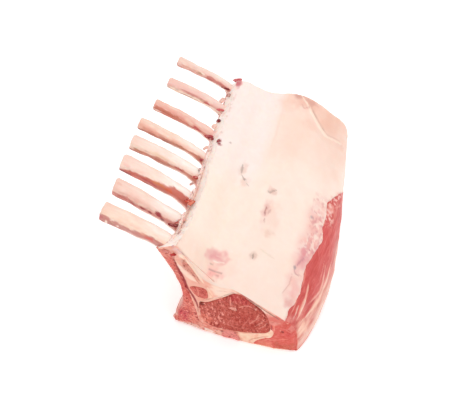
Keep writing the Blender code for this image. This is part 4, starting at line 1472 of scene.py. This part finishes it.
for number, (row, look) in enumerate(zip(ribs["rows"], boneLooks), start=1):
    bone, bonePaint = boneSolid(*row, number), paintBone(look)
    tissue, node = materials[ribs["tissue"]], f"rib_{number}"
    makePiece(f"ribBone{number}", bone, boneRelief(look), bonePaint, tissue, [node])

# Scraps of flesh and membrane left where the ribs leave the meat: place, half length, half width,
# half thickness, turn about Z in degrees, dip in degrees and colour
rootScraps = (
    ((3.4, 1.4, 96.6), 2.6, 1.3, 0.8, 50, 25, "#e3b3b8"),
    ((6.6, 1.0, 95.2), 2.4, 0.7, 0.5, 15, 40, "#c3a7a4"),
    ((9.6, 0.8, 91.8), 2.8, 0.6, 0.45, 10, 50, "#cdb0a6"),
    ((-2.8, 180.2, 92.2), 3.6, 2.0, 1.3, 30, 10, "#c9626a"),
    ((-1.0, 177.0, 93.0), 2.6, 1.6, 0.9, 60, 5, "#b84e58"),
    ((2.3, 110.2, 93.9), 2.2, 1.3, 0.6, 70, 5, "#93343c"),
    ((3.6, 107.4, 94.0), 1.3, 0.8, 0.4, 20, 5, "#a1464a"),
    ((-10.2, 171.2, 89.6), 3.2, 1.0, 0.8, 12, 20, "#7f3034"),
    ((-5.6, 164.2, 89.6), 2.8, 1.3, 1.0, 60, 10, "#b78c86"),
    ((-8.6, 157.6, 89.6), 3.0, 1.7, 1.2, 78, 10, "#f0d0c4"),
    ((-7.2, 146.4, 89.4), 3.6, 1.3, 0.9, 20, 16, "#d46f70"),
    ((-9.6, 147.6, 88.2), 2.6, 0.8, 0.6, 8, 22, "#a84a4a"),
    ((-5.2, 134.8, 89.4), 2.4, 1.6, 1.0, 50, 10, "#7d2a32"),
    ((-6.8, 128.4, 89.2), 3.2, 1.8, 1.2, 76, 8, "#f3d6ca"),
    ((-7.8, 117.0, 89.0), 3.8, 1.5, 1.0, 24, 16, "#b3424c"),
    ((-5.4, 114.2, 90.0), 2.6, 1.2, 0.8, -10, 10, "#8d2f38"),
    ((-6.6, 104.0, 89.4), 2.8, 1.4, 1.0, 74, 8, "#f3d3c6"),
    ((-7.8, 94.8, 89.0), 3.4, 1.2, 0.9, 18, 16, "#b9625a"),
    ((-5.6, 90.6, 89.6), 2.6, 1.2, 0.9, 40, 10, "#a23c46"),
    ((-4.2, 81.2, 89.4), 1.8, 0.9, 0.6, 70, 5, "#b3a19c"),
    ((-4.4, 72.6, 89.4), 3.4, 1.3, 0.9, 16, 16, "#b9534d"),
    ((-5.6, 66.4, 89.0), 2.0, 1.0, 0.7, 60, 10, "#c9a097"),
    ((-0.8, 48.6, 90.4), 3.8, 1.5, 1.1, 22, 12, "#cf5a43"),
    ((1.2, 44.8, 93.8), 2.6, 1.3, 0.8, 50, 4, "#e08068"),
    ((-4.5, 49.5, 89.2), 3.0, 1.1, 0.9, 14, 18, "#a83f38"),
    ((-6.4, 25.0, 89.0), 3.8, 1.7, 1.2, 16, 16, "#8a2e36"),
    ((-3.2, 26.4, 90.6), 2.6, 1.4, 0.9, 30, 10, "#b34a48"),
    ((-1.4, 29.8, 90.4), 2.8, 1.3, 0.9, 36, 8, "#dba79c"),
    ((1.4, 17.4, 92.0), 2.6, 1.4, 1.0, 72, 10, "#c9a59c"),
    ((-0.2, 5.8, 91.0), 2.8, 1.4, 0.9, 40, 14, "#e8a99b"),
    ((2.6, -1.6, 90.0), 3.4, 1.4, 1.0, 50, 34, "#c04a48"),
    ((-2.6, 0.2, 90.0), 3.6, 1.2, 0.9, 30, 24, "#dd8f86"),
)


def scrapLump(place, halves, turn, dip, seed):
    # A closed, uneven lump: a ball of rings, stretched, bent by noise, then turned into place
    around, rings = 14, 9
    polar = np.linspace(0, math.pi, rings + 2)[1:-1]
    angle = np.arange(around) * 2 * math.pi / around
    polar, angle = np.repeat(polar, around), np.tile(angle, rings)
    ball = [-np.cos(polar), np.sin(polar) * np.cos(angle), np.sin(polar) * np.sin(angle)]
    ball = np.vstack([(-1.0, 0, 0), np.transpose(ball), (1.0, 0, 0)])
    faces = [(0, 1 + (k + 1) % around, 1 + k) for k in range(around)]
    for ring in range(rings - 1):
        start = 1 + ring * around
        for k in range(around):
            after = (k + 1) % around
            faces.append((start + k, start + after, start + around + after, start + around + k))
    last = 1 + (rings - 1) * around
    faces += [(last + k, last + (k + 1) % around, len(ball) - 1) for k in range(around)]
    size = 1 + 0.35 * lumps(ball + 3.1 * seed, 0.9, 600 + seed, 2)
    ball = ball * size[:, None] * np.array(halves)
    a, b = math.radians(turn), math.radians(dip)
    forward = np.array((-math.cos(a) * math.cos(b), -math.sin(a) * math.cos(b), math.sin(b)))
    side = np.array((math.sin(a), -math.cos(a), 0))
    return np.array(place, float) + ball @ np.array((forward, side, np.cross(forward, side))), faces


def scrapSolid():
    points, faces, colours, done = [], [], [], 0
    for seed, (place, reach, wide, thick, turn, dip, colour) in enumerate(rootScraps):
        lump, lumpFaces = scrapLump(place, (reach, wide, thick), turn, dip, seed)
        points.append(lump)
        faces += [tuple(done + k for k in face) for face in lumpFaces]
        colours.append(plain(colour, lump))
        done += len(lump)
    return SimpleNamespace(points=np.vstack(points), faces=faces, tint=np.vstack(colours))


def scrapRelief(solid):
    return 0.1 * lumps(solid.points, 0.9, 641)


def paintScraps(solid):
    pale = 0.6 * softStep(lumps(solid.points, 1.6, 640, 2), 0.2, 0.7)
    return mixInto(solid.tint, "#f2c3b4", pale), solid.points, np.full(len(solid.points), 0.2)


makePiece("rootScraps", scrapSolid(), scrapRelief, paintScraps, materials["bareBackMuscle"])

stage = {
    "floorSize": 3.0,
    "floorDrop": 0.0006,  # keeps the floor clear of the foot
    "floorTint": "#f4f4f4",
    "floorGlow": 0.4,
    "ambient": 0.8,
}


def makeFloor():
    # Pale matt acrylic with a weak light under it, as on a table for cut-out pictures
    tint, white = paintOf(stage["floorTint"]), paintOf("#ffffff")
    glow = {"Emission Color": white, "Emission Strength": stage["floorGlow"]}
    rows = (
        ("shader", "BsdfPrincipled", 0, {"Base Color": tint, "Roughness": 0.7, **glow}, {}),
        ("end", "OutputMaterial", 0, {}, {"Surface": "shader"}),
    )
    mesh = bpy.data.meshes.new("floor")
    corners = np.array([(-1, -1, 0), (1, -1, 0), (1, 1, 0), (-1, 1, 0)]) * stage["floorSize"]
    mesh.from_pydata(corners.tolist(), [], [(0, 1, 2, 3)])
    mesh.materials.append(makeMaterial("paleMattAcrylic", rows))
    floor = standObject("floor", mesh)
    floor.location.z = -stage["floorDrop"]


softbox = {"place": (0.12, 0.15, 1.4), "target": (0, 0, 0.04), "size": 0.9, "watts": 5.6, "tint": "#fffaf6"}


def makeLight():
    data = bpy.data.lights.new("keySoftbox", "AREA")
    data.shape, data.size, data.energy = "DISK", softbox["size"], softbox["watts"]
    data.color = linearFromHex(softbox["tint"])
    light = standObject("keySoftbox", data)
    light.location = softbox["place"]
    aim = Vector(softbox["target"]) - light.location
    light.rotation_euler = aim.to_track_quat("-Z", "Y").to_euler()


def makeWorld():
    world = bpy.data.worlds.new("studio")
    world.use_nodes = True
    background = world.node_tree.nodes["Background"].inputs
    background["Color"].default_value = paintOf("#ffffff")
    background["Strength"].default_value = stage["ambient"]
    bpy.context.scene.world = world
    bpy.context.scene.view_settings.view_transform = "Standard"


camera = {
    "azimuth": 16.7,
    "elevation": 50.7,
    "distance": 0.78558,
    "target": (-0.011177, 0.005907, 0.038775),
    "lens": 85.0,
    "sensor": 36.0,
    "nearest": 0.01,
    "furthest": 20.0,
}


def makeCamera():
    side, rise = math.radians(camera["azimuth"]), math.radians(camera["elevation"])
    back = Vector((math.sin(side) * math.cos(rise), -math.cos(side) * math.cos(rise), math.sin(rise)))
    data = bpy.data.cameras.new("camera")
    data.lens, data.sensor_width = camera["lens"], camera["sensor"]
    data.clip_start, data.clip_end = camera["nearest"], camera["furthest"]
    eye = standObject("camera", data)
    eye.location = Vector(camera["target"]) + back * camera["distance"]
    eye.rotation_euler = (-back).to_track_quat("-Z", "Y").to_euler()
    bpy.context.scene.camera = eye


makeFloor()
makeLight()
makeWorld()
makeCamera()
print("stage, light and camera placed")
